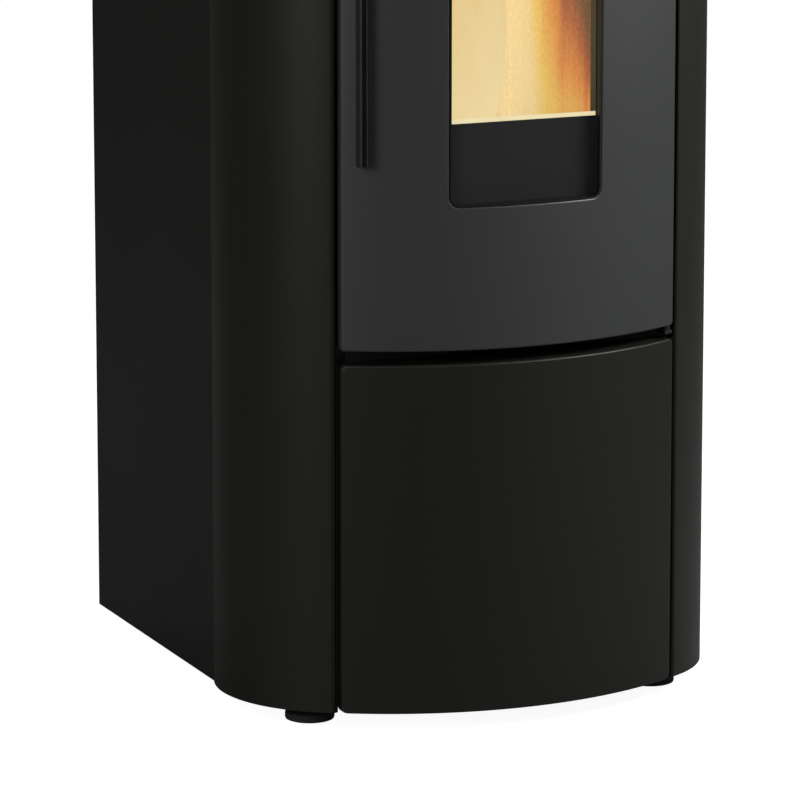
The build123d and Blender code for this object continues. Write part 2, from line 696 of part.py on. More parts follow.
def door_skin():
    """Bowed door sheet with window, handle slot and hinge holes."""
    skin = bow_pan(DOOR_BOTTOM, DOOR_TOP, DOOR_CORNER)
    skin -= tablet_y(WINDOW_HALF, WINDOW_BOTTOM, WINDOW_TOP, WINDOW_CORNER, FRONT - 1, GLASS_Y)
    skin -= block(HANDLE_X - HANDLE_WIDTH, HANDLE_X + 2 * HANDLE_WIDTH, FRONT,
                  DOOR_PLATE_Y - 2 * SKIN, MAIN_MIDDLE - LATCH_HEIGHT / 2 - SKIN,
                  MAIN_MIDDLE + LATCH_HEIGHT / 2 + SKIN)
    skin -= rod_z(HINGE_X, HINGE_Y, 0, HEIGHT, HINGE_PIN_RADIUS + RUNNING_FIT)
    return skin


def window_trim():
    """Thin frame that lines the window from the skin back to the glass."""
    outer = tablet_y(WINDOW_HALF, WINDOW_BOTTOM, WINDOW_TOP, WINDOW_CORNER, FRONT, GLASS_Y)
    inner = tablet_y(WINDOW_HALF - TRIM_WALL, WINDOW_BOTTOM + TRIM_WALL, WINDOW_TOP - TRIM_WALL,
                     WINDOW_CORNER - TRIM_WALL, FRONT - 1, GLASS_Y + 1)
    return (outer - inner) & bow_solid(BOW_HALF, 0, GLASS_Y, DOOR_BOTTOM, DOOR_TOP)


def glass_plate(margin, y0, y1):
    """Plate that laps the window by a margin."""
    return tablet_y(WINDOW_HALF + margin, WINDOW_BOTTOM - margin, WINDOW_TOP + margin,
                    WINDOW_CORNER, y0, y1)


def door_glass():
    """Flat ceramic glass behind the window."""
    return glass_plate(GLASS_LAP, GLASS_Y, GLASS_REAR)


def glass_gasket():
    """Flat strip between glass and door frame."""
    return glass_plate(GLASS_LAP, GLASS_REAR, NECK_Y) - glass_plate(0, GLASS_Y, NECK_Y + 1)


def door_frame():
    """Rear plate of the door, neck for the glass, hinge blocks and latch lugs."""
    half = BOW_HALF - SKIN
    plate = block(-half, half, DOOR_PLATE_Y, DOOR_REAR, DOOR_BOTTOM + SKIN, DOOR_TOP - SKIN)
    outer = GLASS_LAP + NECK_WALL
    plate += glass_plate(outer, NECK_Y, DOOR_PLATE_Y)
    plate -= glass_plate(GLASS_LAP, NECK_Y + NECK_WALL, DOOR_REAR + 1)
    plate -= glass_plate(0, FRONT, DOOR_REAR + 1)
    plate += door_clips(outer)
    for level, edge, way in hinge_places():
        ends = sorted((edge + way * SKIN, edge + way * (SKIN + HINGE_BLOCK)))
        bush = block(HINGE_X - 2 * HINGE_PIN_RADIUS, half, FRONT, DOOR_REAR, ends[0], ends[1])
        plate += bush & bow_solid(half, SKIN, DOOR_REAR, ends[0], ends[1])
        bore = sorted((edge, edge + way * (SKIN + HINGE_BLOCK)))
        plate -= rod_z(HINGE_X, HINGE_Y, bore[0], bore[1], HINGE_PIN_RADIUS + RUNNING_FIT)
    return latch_lugs(plate)


def door_clips(outer):
    """Four clips that press the glass back on its seat."""
    clips = None
    x = WINDOW_HALF + outer
    for z in (WINDOW_BOTTOM + 4 * GLASS_LAP, WINDOW_TOP - 4 * GLASS_LAP):
        post = block(x - NECK_WALL, x, GLASS_Y - NECK_WALL / 2, NECK_Y, z - GLASS_LAP, z + GLASS_LAP)
        tongue = block(x - GLASS_LAP, x, GLASS_Y - NECK_WALL / 2, GLASS_Y, z - GLASS_LAP,
                       z + GLASS_LAP)
        clip = post + tongue
        clips = clip if clips is None else clips + clip
        clips += mirrored(clip)
    return clips


def latch_lugs(plate):
    """Add the latch shaft's two lugs and cut the hook's slot."""
    reach = LATCH_LUG_GAP + LATCH_HEIGHT / 2
    half = 2 * LATCH_SHAFT_RADIUS
    for way in (-1, 1):
        ends = sorted((MAIN_MIDDLE + way * reach, MAIN_MIDDLE + way * (reach + LATCH_LUG)))
        plate += block(LATCH_X - half, LATCH_X + half, LATCH_Y - half + 1, DOOR_PLATE_Y,
                       ends[0], ends[1])
    low = MAIN_MIDDLE - reach - 2 * LATCH_LUG
    high = MAIN_MIDDLE + reach + 2 * LATCH_LUG
    plate -= rod_z(LATCH_X, LATCH_Y, low, high, LATCH_SHAFT_RADIUS + RUNNING_FIT)
    return plate - block(LATCH_X - HOOK_REACH / 2, LATCH_X + HOOK_NOSE + SKIN, DOOR_PLATE_Y - 1,
                         DOOR_REAR + 1, MAIN_MIDDLE - LATCH_HEIGHT / 2 - SKIN,
                         MAIN_MIDDLE + LATCH_HEIGHT / 2 + SKIN)


def door_gasket():
    """Flattened rope seal round the firebox mouth, on the back of the door."""
    outer = rope_ring(ROPE_MARGIN + ROPE_RADIUS, ROPE_CORNER + ROPE_RADIUS)
    return outer - rope_ring(ROPE_MARGIN - ROPE_RADIUS, ROPE_CORNER - ROPE_RADIUS)


def rope_ring(margin, corner):
    """Plate that laps the firebox mouth by a margin, as thick as the rope."""
    return tablet_y(MOUTH_HALF + margin, MOUTH_BOTTOM - margin + PLAY, MOUTH_TOP + margin, corner,
                    DOOR_REAR, DOOR_REAR + 2 * ROPE_RADIUS)


def hinge_brackets():
    """Two plates on the right front post, each with its hinge pin."""
    pieces = []
    for level, edge, way in hinge_places():
        plate = block(POST_INNER, BOW_HALF - PLAY, FRONT, POST_Y, level, level + HINGE_PLATE)
        plate &= bow_solid(BOW_HALF, SKIN, POST_Y, level, level + HINGE_PLATE)
        tip = edge + way * (SKIN + PIN_REACH)
        pin = rod_z(HINGE_X, HINGE_Y, min(level, tip), max(level + HINGE_PLATE, tip),
                    HINGE_PIN_RADIUS)
        pieces.append(plate + pin)
    return pieces


# ---------------------------------------------------------------- handle and latch
def handle_bar():
    """Slim upright blade that the hand pulls."""
    front = bow_y(HANDLE_X) - HANDLE_REACH
    x0 = HANDLE_X - HANDLE_WIDTH / 2
    bar = block(x0, x0 + HANDLE_WIDTH, front, front + HANDLE_THICKNESS, HANDLE_BOTTOM, HANDLE_TOP)
    return chamfer(bar.edges(), HANDLE_EDGE)


def latch_lever():
    """Shaft with its collar, bent arm to the handle, hook behind the firebox front."""
    z0 = MAIN_MIDDLE - LATCH_HEIGHT / 2
    z1 = MAIN_MIDDLE + LATCH_HEIGHT / 2
    reach = LATCH_LUG_GAP + LATCH_LUG
    shaft = rod_z(LATCH_X, LATCH_Y, z0 - reach, z1 + reach, LATCH_SHAFT_RADIUS)
    shaft += rod_z(LATCH_X, LATCH_Y, z0 - LATCH_LUG_GAP + PLAY, z1 + LATCH_LUG_GAP - PLAY,
                   LATCH_SHAFT_RADIUS + LATCH_COLLAR)
    half = ARM_THICKNESS / 2
    bar_back = bow_y(HANDLE_X) - HANDLE_REACH + HANDLE_THICKNESS
    arm = block(HANDLE_X - half, LATCH_X, LATCH_Y, LATCH_Y + ARM_THICKNESS, z0, z1)
    arm += block(HANDLE_X - half, HANDLE_X + half, bar_back, LATCH_Y + ARM_THICKNESS, z0, z1)
    hook = block(LATCH_X - half, LATCH_X + half, LATCH_Y, LATCH_Y + HOOK_REACH, z0, z1)
    nose_y = LATCH_Y + HOOK_REACH
    hook += block(LATCH_X - half, LATCH_X - half + HOOK_NOSE, nose_y - HOOK_THICKNESS, nose_y,
                  z0, z1)
    return shaft + arm + hook


def latch_keeper():
    """Striker plate on the back of the firebox front, beside the hook."""
    edge = LATCH_X - ARM_THICKNESS / 2 + HOOK_NOSE + HOOK_CLEARANCE
    rear = MOUTH_Y + FIREBOX_WALL
    half = LATCH_HEIGHT / 2 + KEEPER_THICKNESS
    return block(edge, edge + KEEPER_WIDTH, rear, rear + KEEPER_THICKNESS, MAIN_MIDDLE - half,
                 MAIN_MIDDLE + half)


# ---------------------------------------------------------------- firebox
def exchanger_places():
    """Centres of the heat exchanger tubes, as x, z pairs."""
    z = FIREBOX_TOP - TUBE_DROP
    return [(TUBE_PITCH * (i - (TUBE_COUNT - 1) / 2), z) for i in range(TUBE_COUNT)]


def firebox():
    """Welded combustion chamber with a wide front plate and exchanger tubes."""
    box = block(-FIREBOX_HALF, FIREBOX_HALF, MOUTH_Y, FIREBOX_REAR, FIREBOX_BOTTOM, FIREBOX_TOP)
    box -= block(-FIREBOX_HALF + FIREBOX_WALL, FIREBOX_HALF - FIREBOX_WALL,
                 MOUTH_Y + FIREBOX_WALL, FIREBOX_REAR - FIREBOX_WALL,
                 FIREBOX_BOTTOM + FIREBOX_WALL, FIREBOX_TOP - FIREBOX_WALL)
    box += block(-POST_INNER, POST_INNER, MOUTH_Y, MOUTH_Y + FIREBOX_WALL, PANEL_TOP - LINER,
                 FRAME_UNDER)
    box -= tablet_y(MOUTH_HALF, MOUTH_BOTTOM, MOUTH_TOP, WINDOW_CORNER, MOUTH_Y - 1,
                    MOUTH_Y + FIREBOX_WALL + 1)
    box -= hook_notch()
    for x, z in exchanger_places():
        box += drum_y(x, MOUTH_Y, FIREBOX_REAR, z, TUBE_RADIUS)
        box -= drum_y(x, MOUTH_Y - 1, FIREBOX_REAR + 1, z, TUBE_RADIUS - TUBE_WALL)
    box -= chute_solid(CHUTE_HALF + PLAY, CHUTE_HEIGHT / 2 + PLAY, CHUTE_LENGTH)
    box -= rod_y(INTAKE_X, FIREBOX_REAR - LINER, FIREBOX_REAR + 1, INTAKE_HEIGHT,
                 INTAKE_RADIUS - 2 * INTAKE_WALL)
    box -= rod_y(0, GRATE_Y, FIREBOX_REAR + 1, igniter_height(), IGNITER_RADIUS + PLAY)
    return box - block(duct_left() + DUCT_SHEET, duct_right() - DUCT_SHEET,
                       FIREBOX_REAR - LINER, FIREBOX_REAR + 1, BAFFLE_HEIGHT + LINER,
                       DUCT_TOP - DUCT_SHEET)


def hook_notch():
    """Notch of the front plate that the hook swings in."""
    edge = LATCH_X - ARM_THICKNESS / 2 + HOOK_NOSE + HOOK_CLEARANCE
    half = LATCH_HEIGHT / 2 + SKIN
    return block(LATCH_X - HOOK_REACH / 2 - SKIN, edge, MOUTH_Y - 1, MOUTH_Y + HOOK_REACH,
                 MAIN_MIDDLE - half, MAIN_MIDDLE + half)


def igniter_height():
    """Axis of the igniter, in the middle of the brazier holder."""
    return HOLDER_BOTTOM + HOLDER_HEIGHT / 3


def duct_right():
    """Right face of the smoke duct, clear of the auger."""
    return -CHUTE_HALF - CHUTE_SHEET - PLAY


def duct_left():
    """Left face of the smoke duct, on the exhaust fan's inlet side."""
    return FAN_RIGHT


def firebox_stand():
    """Four angle legs between the base plate and the firebox."""
    front_y = POST_Y + POST_WIDTH
    front = angle_post(FIREBOX_HALF, front_y, STAND_WIDTH, -1, 1, FIREBOX_BOTTOM)
    rear = angle_post(FIREBOX_HALF, FIREBOX_REAR, STAND_WIDTH, -1, -1, FIREBOX_BOTTOM)
    return [front, mirrored(front), rear, mirrored(rear)]


def fireback():
    """Ribbed cast plate at the rear of the fire, cut out for the pellet chute."""
    half = FIREBOX_HALF - FIREBOX_WALL - LINER - PLAY
    rear = FIREBOX_REAR - FIREBOX_WALL
    plate = block(-half, half, rear - LINER + RIB_DEPTH, rear, LINER_BOTTOM, BAFFLE_HEIGHT)
    count = int((2 * half - RIB_WIDTH) // RIB_PITCH)
    for i in range(count + 1):
        x = RIB_PITCH * (i - count / 2)
        plate += block(x - RIB_WIDTH / 2, x + RIB_WIDTH / 2, rear - LINER, rear, LINER_BOTTOM,
                       BAFFLE_HEIGHT)
    return plate - chute_solid(CHUTE_HALF + PLAY, CHUTE_HEIGHT / 2 + PLAY, CHUTE_LENGTH)


def side_liners():
    """Heat resistant boards at both sides of the fire."""
    outer = FIREBOX_HALF - FIREBOX_WALL
    board = block(outer - LINER, outer, MOUTH_Y + FIREBOX_WALL,
                  FIREBOX_REAR - FIREBOX_WALL, LINER_BOTTOM, BAFFLE_HEIGHT)
    return [board, mirrored(board)]


def baffle_plate():
    """Board that turns the smoke forwards, on top of the liners."""
    inner = FIREBOX_HALF - FIREBOX_WALL - PLAY
    front = MOUTH_Y + FIREBOX_WALL + 2 * LINER
    return block(-inner, inner, front, FIREBOX_REAR - FIREBOX_WALL, BAFFLE_HEIGHT,
                 BAFFLE_HEIGHT + BAFFLE_THICKNESS)


def brazier_holder():
    """Fire chamber floor with the air box that takes the brazier."""
    inner = FIREBOX_HALF - FIREBOX_WALL
    top = LINER_BOTTOM
    floor = block(-inner, inner, MOUTH_Y + FIREBOX_WALL,
                  FIREBOX_REAR - FIREBOX_WALL, top - HOLDER_WALL, top)
    half_x = BRAZIER_WIDTH / 2 + PLAY + HOLDER_WALL
    half_y = BRAZIER_LENGTH / 2 + PLAY + HOLDER_WALL
    well = block(-half_x, half_x, GRATE_Y - half_y, GRATE_Y + half_y, HOLDER_BOTTOM - HOLDER_WALL,
                 top)
    hole_x = half_x - HOLDER_WALL
    hole_y = half_y - HOLDER_WALL
    pocket = block(-hole_x, hole_x, GRATE_Y - hole_y, GRATE_Y + hole_y, HOLDER_BOTTOM, top + 1)
    mouth = block(-hole_x / 2, hole_x / 2, GRATE_Y - hole_y / 2, GRATE_Y + hole_y / 2,
                  HOLDER_BOTTOM - 2 * HOLDER_WALL, top)
    solid = floor + well - pocket - mouth
    return solid - rod_y(0, GRATE_Y, FIREBOX_REAR, igniter_height(), IGNITER_RADIUS + PLAY)


def brazier():
    """Burn pot with a rim, air slots in walls and floor."""
    bottom = HOLDER_BOTTOM + PLAY
    half_x = BRAZIER_WIDTH / 2
    half_y = BRAZIER_LENGTH / 2
    top = bottom + BRAZIER_HEIGHT
    pot = block(-half_x, half_x, GRATE_Y - half_y, GRATE_Y + half_y, bottom, top)
    rim_z = LINER_BOTTOM
    pot += block(-half_x - BRAZIER_RIM, half_x + BRAZIER_RIM, GRATE_Y - half_y - BRAZIER_RIM,
                 GRATE_Y + half_y + BRAZIER_RIM, rim_z, rim_z + BRAZIER_WALL)
    wall = BRAZIER_WALL
    pot -= block(-half_x + wall, half_x - wall, GRATE_Y - half_y + wall, GRATE_Y + half_y - wall,
                 bottom + wall, top + 1)
    half = AIR_SLOT / 2
    reach = half_y - 4 * wall
    z = rim_z + 4 * wall
    for i in range(AIR_SLOT_COUNT):
        x = BRAZIER_WIDTH / (AIR_SLOT_COUNT + 1) * (i - (AIR_SLOT_COUNT - 1) / 2)
        pot -= block(x - half, x + half, GRATE_Y - reach, GRATE_Y + reach, bottom - 1,
                     bottom + wall + 1)
        pot -= block(x - AIR_SLOT, x + AIR_SLOT, GRATE_Y - BRAZIER_LENGTH,
                     GRATE_Y + BRAZIER_LENGTH, z - half, z + half)
    return pot - rod_y(0, GRATE_Y, GRATE_Y + half_y + 1, igniter_height(), IGNITER_RADIUS)


def igniter():
    """Glow rod that lights the pellets, with its collar outside the firebox."""
    z = igniter_height()
    start = GRATE_Y + BRAZIER_LENGTH / 2 + PLAY + HOLDER_WALL / 2
    rod = rod_y(0, start, FIREBOX_REAR + 2 * LINER, z, IGNITER_RADIUS)
    return rod + drum_y(0, FIREBOX_REAR, FIREBOX_REAR + LINER / 2, z, 2 * IGNITER_RADIUS, 6)


def ash_drawer():
    """Open tray on the firebox floor with a folded grip."""
    y0 = MOUTH_Y + FIREBOX_WALL + 2 * SKIN
    y1 = FIREBOX_REAR - 2 * LINER
    z0 = FIREBOX_BOTTOM + FIREBOX_WALL
    z1 = z0 + DRAWER_HEIGHT
    tray = block(-DRAWER_HALF, DRAWER_HALF, y0, y1, z0, z1)
    tray -= block(-DRAWER_HALF + DRAWER_WALL, DRAWER_HALF - DRAWER_WALL, y0 + DRAWER_WALL,
                  y1 - DRAWER_WALL, z0 + DRAWER_WALL, z1 + 1)
    grip_z = (z0 + z1) / 2
    grip = block(-LINER * 2, LINER * 2, y0 - 2 * SKIN, y0, grip_z, grip_z + DRAWER_WALL)
    return tray + grip


# ---------------------------------------------------------------- hopper and pellet feed
def hopper_loft(wall):
    """Tapering body of the hopper, moved inwards by a wall."""
    middle = (HOPPER_FRONT + HOPPER_REAR) / 2
    length = HOPPER_REAR - HOPPER_FRONT
    top = Pos(0, middle, HOPPER_SHOULDER) * Rectangle(2 * (HOPPER_HALF - wall), length - 2 * wall)
    bottom = Pos(0, THROAT_Y, THROAT_HEIGHT) * Rectangle(2 * (THROAT_HALF - wall),
                                                         THROAT_LENGTH - 2 * wall)
    return loft([bottom, top], ruled=True)


def hopper():
    """Pellet tank: straight collar, tapering walls and a short throat."""
    tank = hopper_loft(0) + block(-HOPPER_HALF, HOPPER_HALF, HOPPER_FRONT, HOPPER_REAR,
                                  HOPPER_SHOULDER, COLLAR_TOP)
    inner = hopper_loft(HOPPER_SHEET)
    wall = HOPPER_SHEET
    inner += block(-HOPPER_HALF + wall, HOPPER_HALF - wall, HOPPER_FRONT + wall,
                   HOPPER_REAR - wall, HOPPER_SHOULDER, COLLAR_TOP + 1)
    rim = block(-HOPPER_HALF - RIM_WIDTH, HOPPER_HALF + RIM_WIDTH, HOPPER_FRONT - RIM_WIDTH,
                HOPPER_REAR + RIM_WIDTH, FRAME_TOP, FRAME_TOP + wall)
    return tank + rim - inner


def lid_seal():
    """Soft strip on the hopper's mouth that the lid closes on."""
    half = HOPPER_HALF + SEAL_WIDTH / 2
    y0 = HOPPER_FRONT - SEAL_WIDTH / 2
    y1 = HOPPER_REAR + SEAL_WIDTH / 2
    ring = block(-half, half, y0, y1, COLLAR_TOP, LID_UNDER - PLAY)
    return ring - block(-half + SEAL_WIDTH, half - SEAL_WIDTH, y0 + SEAL_WIDTH, y1 - SEAL_WIDTH,
                        0, HEIGHT)


def hopper_lid():
    """Flush lid with folded skirt and two hinge lugs."""
    lid = block(-LID_HALF, LID_HALF, LID_FRONT, LID_REAR, LID_UNDER - LID_SKIRT, HEIGHT)
    lid -= block(-LID_HALF + LID_SHEET, LID_HALF - LID_SHEET, LID_FRONT + LID_SHEET,
                 LID_REAR - LID_SHEET, 0, LID_UNDER)
    for side in (-1, 1):
        x = side * LID_LUG_X
        lid -= block(x - LID_LUG_WIDTH, x + LID_LUG_WIDTH, LID_REAR - 2 * LID_SHEET, LID_REAR, 0,
                     LID_UNDER)
        lug = rod_x(x - LID_LUG_WIDTH / 2, x + LID_LUG_WIDTH / 2, LID_AXIS_Y, LID_AXIS_Z,
                    LID_LUG_RADIUS)
        lug += block(x - LID_LUG_WIDTH / 2, x + LID_LUG_WIDTH / 2, LID_AXIS_Y - LID_LUG_RADIUS,
                     LID_AXIS_Y + LID_LUG_RADIUS / 2, LID_AXIS_Z, LID_UNDER)
        lid += lug
        lid -= rod_x(x - LID_LUG_WIDTH, x + LID_LUG_WIDTH, LID_AXIS_Y, LID_AXIS_Z,
                     LID_PIN_RADIUS + RUNNING_FIT)
    return lid


def lid_hinges():
    """Two forked brackets with their pins on the top frame."""
    pieces = []
    cheek = 2 * SHEET
    for side in (-1, 1):
        x = side * LID_LUG_X
        reach = LID_LUG_WIDTH / 2 + PLAY
        y0 = LID_AXIS_Y - LID_LUG_RADIUS
        y1 = LID_AXIS_Y + LID_LUG_RADIUS
        fork = block(x - reach - cheek, x + reach + cheek, y0, y1, FRAME_TOP,
                     LID_AXIS_Z + LID_LUG_RADIUS / 2)
        fork -= block(x - reach, x + reach, y0 - 1, y1 + 1, FRAME_TOP + cheek, HEIGHT)
        fork += rod_x(x - reach - cheek, x + reach + cheek, LID_AXIS_Y, LID_AXIS_Z,
                      LID_PIN_RADIUS)
        pieces.append(fork)
    return pieces


def auger_tube():
    """Slanted tube of the pellet screw with the neck that meets the hopper."""
    radius = AUGER_BORE + AUGER_WALL
    tube = AUGER_FRAME * Cylinder(radius, AUGER_LENGTH)
    y0 = THROAT_Y - THROAT_LENGTH / 2
    y1 = THROAT_Y + THROAT_LENGTH / 2
    tube += block(-THROAT_HALF, THROAT_HALF, y0, y1, AUGER_AXIS_HEIGHT, THROAT_HEIGHT)
    wall = HOPPER_SHEET
    tube -= block(-THROAT_HALF + wall, THROAT_HALF - wall, y0 + wall, y1 - wall,
                  AUGER_AXIS_HEIGHT + AUGER_BORE / 2, THROAT_HEIGHT + 1)
    tube -= AUGER_FRAME * Cylinder(AUGER_BORE, AUGER_LENGTH - 2 * AUGER_WALL)
    tube -= AUGER_FRAME * Cylinder(SCREW_SHAFT + RUNNING_FIT, AUGER_LENGTH + 1)
    return tube - chute_solid(CHUTE_HALF - CHUTE_SHEET, CHUTE_HEIGHT / 2 - CHUTE_SHEET,
                              CHUTE_LENGTH)


def auger_screw():
    """Shaft with a helical blade, lofted through sections that turn as they climb."""
    turns = int((AUGER_LENGTH - 6 * AUGER_WALL) / SCREW_PITCH)
    root = SCREW_SHAFT - SCREW_BLADE / 2
    section = Rot(90, 0, 0) * Rectangle(SCREW_RADIUS - root, SCREW_BLADE)
    section = Pos((SCREW_RADIUS + root) / 2, 0, -turns * SCREW_PITCH / 2) * section
    rise = SCREW_PITCH / SCREW_STEPS
    steps = range(turns * SCREW_STEPS + 1)
    sections = [Pos(0, 0, rise * i) * Rot(0, 0, 360 / SCREW_STEPS * i) * section for i in steps]
    shaft = Cylinder(SCREW_SHAFT, AUGER_LENGTH + 2 * AUGER_WALL)
    return AUGER_FRAME * (shaft + loft(sections, ruled=True))


def auger_gearmotor():
    """Gearbox and motor that turn the screw, on the tube's lower end."""
    start = -AUGER_LENGTH / 2
    gearbox = Box(GEARBOX, GEARBOX, GEARBOX_THICKNESS)
    gearbox = Pos(0, 0, start - GEARBOX_THICKNESS / 2) * chamfer(gearbox.edges() | Axis.Z,
                                                              GEARBOX_CORNER)
    gearbox -= Pos(0, 0, start) * Cylinder(SCREW_SHAFT + RUNNING_FIT, GEARBOX_THICKNESS)
    motor = drum_z(0, 0, start - GEARBOX_THICKNESS - MOTOR_LENGTH, start - GEARBOX_THICKNESS,
                   MOTOR_RADIUS)
    return AUGER_FRAME * (gearbox + motor)


def chute_solid(half, half_height, length):
    """Slanted bar along the pellet chute, from the auger's head into the firebox."""
    place = Pos(0, FIREBOX_REAR, CHUTE_MIDDLE) * Rot(CHUTE_SLOPE, 0, 0)
    return place * Box(2 * half, length, 2 * half_height)


def pellet_chute():
    """Open duct that drops the pellets in front of the fireback."""
    duct = chute_solid(CHUTE_HALF, CHUTE_HEIGHT / 2, CHUTE_LENGTH)
    duct -= chute_solid(CHUTE_HALF - CHUTE_SHEET, CHUTE_HEIGHT / 2 - CHUTE_SHEET,
                        CHUTE_LENGTH + 2)
    duct -= AUGER_FRAME * Cylinder(AUGER_BORE + AUGER_WALL, AUGER_LENGTH)
    return duct.solids().sort_by(SortBy.VOLUME)[-1]


# ---------------------------------------------------------------- exhaust side
def smoke_duct():
    """Duct from the top of the firebox down to the exhaust fan's inlet."""
    x0 = duct_left()
    x1 = duct_right()
    y1 = FIREBOX_REAR + DUCT_DEPTH
    bottom = FAN_Z - FAN_INLET - 3 * DUCT_SHEET
    y2 = FAN_Y + FAN_INLET + 3 * DUCT_SHEET
    top = FAN_Z + FAN_INLET + 3 * DUCT_SHEET
    duct = block(x0, x1, FIREBOX_REAR, y1, bottom, DUCT_TOP)
    duct += block(x0, x1, FIREBOX_REAR, y2, bottom, top)
    wall = DUCT_SHEET
    duct -= block(x0 + wall, x1 - wall, FIREBOX_REAR + wall, y1 - wall, bottom + wall,
                  DUCT_TOP - wall)
    duct -= block(x0 + wall, x1 - wall, FIREBOX_REAR + wall, y2 - wall, bottom + wall,
                  top - wall)
    duct -= block(x0 + wall, x1 - wall, FIREBOX_REAR - 1, FIREBOX_REAR + wall + 1,
                  BAFFLE_HEIGHT + LINER, DUCT_TOP - wall)
    return duct - rod_x(x0 - 1, x0 + wall + 1, FAN_Y, FAN_Z, FAN_INLET - wall)


def exhaust_fan_housing():
    """Round fan case with a tangential outlet towards the flue."""
    case = drum_x(FAN_LEFT, FAN_RIGHT, FAN_Y, FAN_Z, FAN_RADIUS)
    half = FAN_WIDTH / 2
    top = FAN_Z + FAN_RADIUS
    case += block(FAN_LEFT, FAN_RIGHT, FAN_Y, FAN_END, FLUE_HEIGHT - half, top)
    wall = FAN_SHEET
    inner = drum_x(FAN_LEFT + wall, FAN_RIGHT - wall, FAN_Y, FAN_Z, FAN_RADIUS - wall)
    inner += block(FAN_LEFT + wall, FAN_RIGHT - wall, FAN_Y, FAN_END - wall,
                   FLUE_HEIGHT - half + wall, top - wall)
    case -= inner
    case -= rod_x(FAN_RIGHT - wall - 1, FAN_RIGHT + 1, FAN_Y, FAN_Z, FAN_INLET - wall)
    case -= rod_x(FAN_LEFT - 1, FAN_LEFT + wall + 1, FAN_Y, FAN_Z, SCREW_SHAFT)
    return case - rod_y(FLUE_X, FAN_END - wall - 1, FAN_END + 1, FLUE_HEIGHT, half - 2 * wall)


def exhaust_impeller():
    """Back plate with straight radial blades on a motor shaft."""
    x0 = FAN_LEFT + 2 * FAN_SHEET
    blade_width = FAN_WIDTH - 8 * FAN_SHEET
    wheel = drum_x(x0, x0 + FAN_SHEET, FAN_Y, FAN_Z, IMPELLER_RADIUS)
    wheel += drum_x(x0, x0 + blade_width, FAN_Y, FAN_Z, 2 * SCREW_SHAFT)
    hub = SCREW_SHAFT
    for i in range(IMPELLER_BLADES):
        blade = Box(blade_width, IMPELLER_RADIUS - hub, IMPELLER_BLADE)
        blade = Pos(x0 + blade_width / 2, (IMPELLER_RADIUS + hub) / 2, 0) * blade
        wheel += Pos(0, FAN_Y, FAN_Z) * Rot(360 / IMPELLER_BLADES * i, 0, 0) * blade
    return wheel + rod_x(FAN_LEFT - EXHAUST_MOTOR_LENGTH / 3, x0, FAN_Y, FAN_Z, SCREW_SHAFT / 2)


def exhaust_motor():
    """Motor of the smoke fan, on the case's outer side."""
    x0 = FAN_LEFT - EXHAUST_MOTOR_LENGTH
    motor = drum_x(x0, FAN_LEFT, FAN_Y, FAN_Z, EXHAUST_MOTOR_RADIUS)
    motor = chamfer(motor.edges().group_by(Axis.X)[0], 2 * FAN_SHEET)
    return motor - rod_x(FAN_LEFT - EXHAUST_MOTOR_LENGTH / 2, FAN_LEFT + 1, FAN_Y, FAN_Z,
                         SCREW_SHAFT / 2 + RUNNING_FIT)


def flue_outlet():
    """Flue pipe from the fan case, with the full-size spigot behind the rear panel."""
    return spigot(FLUE_X, FLUE_HEIGHT, FAN_END, FLUE_LENGTH, FLUE_RADIUS, FLUE_WALL)


def spigot(x, z, start, length, radius, wall):
    """Pipe with a narrower neck up to the rear panel and one bore all along."""
    shoulder = REAR + SPIGOT_START
    end = REAR + length
    pipe = rod_y(x, start, shoulder, z, radius - wall) + rod_y(x, shoulder, end, z, radius)
    return pipe - rod_y(x, start - 1, end + 1, z, radius - 2 * wall)


def air_intake():
    """Combustion air pipe from the rear panel to the firebox."""
    return spigot(INTAKE_X, INTAKE_HEIGHT, FIREBOX_REAR, INTAKE_LENGTH, INTAKE_RADIUS, INTAKE_WALL)


# ---------------------------------------------------------------- room fan
def room_fan_housing():
    """Case of the room air fan on the base plate, open at top and rear."""
    x0 = ROOM_FAN_LEFT
    x1 = x0 + ROOM_FAN_LENGTH
    r = ROOM_FAN_RADIUS
    wall = FAN_SHEET
    case = drum_x(x0, x1, ROOM_FAN_Y, ROOM_FAN_HEIGHT, r)
    case += block(x0, x1, ROOM_FAN_Y - r, ROOM_FAN_Y, ROOM_FAN_HEIGHT, ROOM_FAN_HEIGHT + 2 * r)
    case -= drum_x(x0 + wall, x1 - wall, ROOM_FAN_Y, ROOM_FAN_HEIGHT, r - wall)
    case -= block(x0 + wall, x1 - wall, ROOM_FAN_Y - r + wall, ROOM_FAN_Y - wall,
                  ROOM_FAN_HEIGHT, ROOM_FAN_HEIGHT + 2 * r + 1)
    case -= block(x0 + wall, x1 - wall, ROOM_FAN_Y + r / 2, ROOM_FAN_Y + 2 * r,
                  ROOM_FAN_HEIGHT - r / 2, ROOM_FAN_HEIGHT + r / 2)
    case += block(x0, x1, ROOM_FAN_Y - r / 2, ROOM_FAN_Y + r / 2, FLOOR_TOP,
                  ROOM_FAN_HEIGHT - r + wall / 2)
    return case - rod_x(x0 - 1, x1 + 1, ROOM_FAN_Y, ROOM_FAN_HEIGHT, SCREW_SHAFT / 2 + RUNNING_FIT)


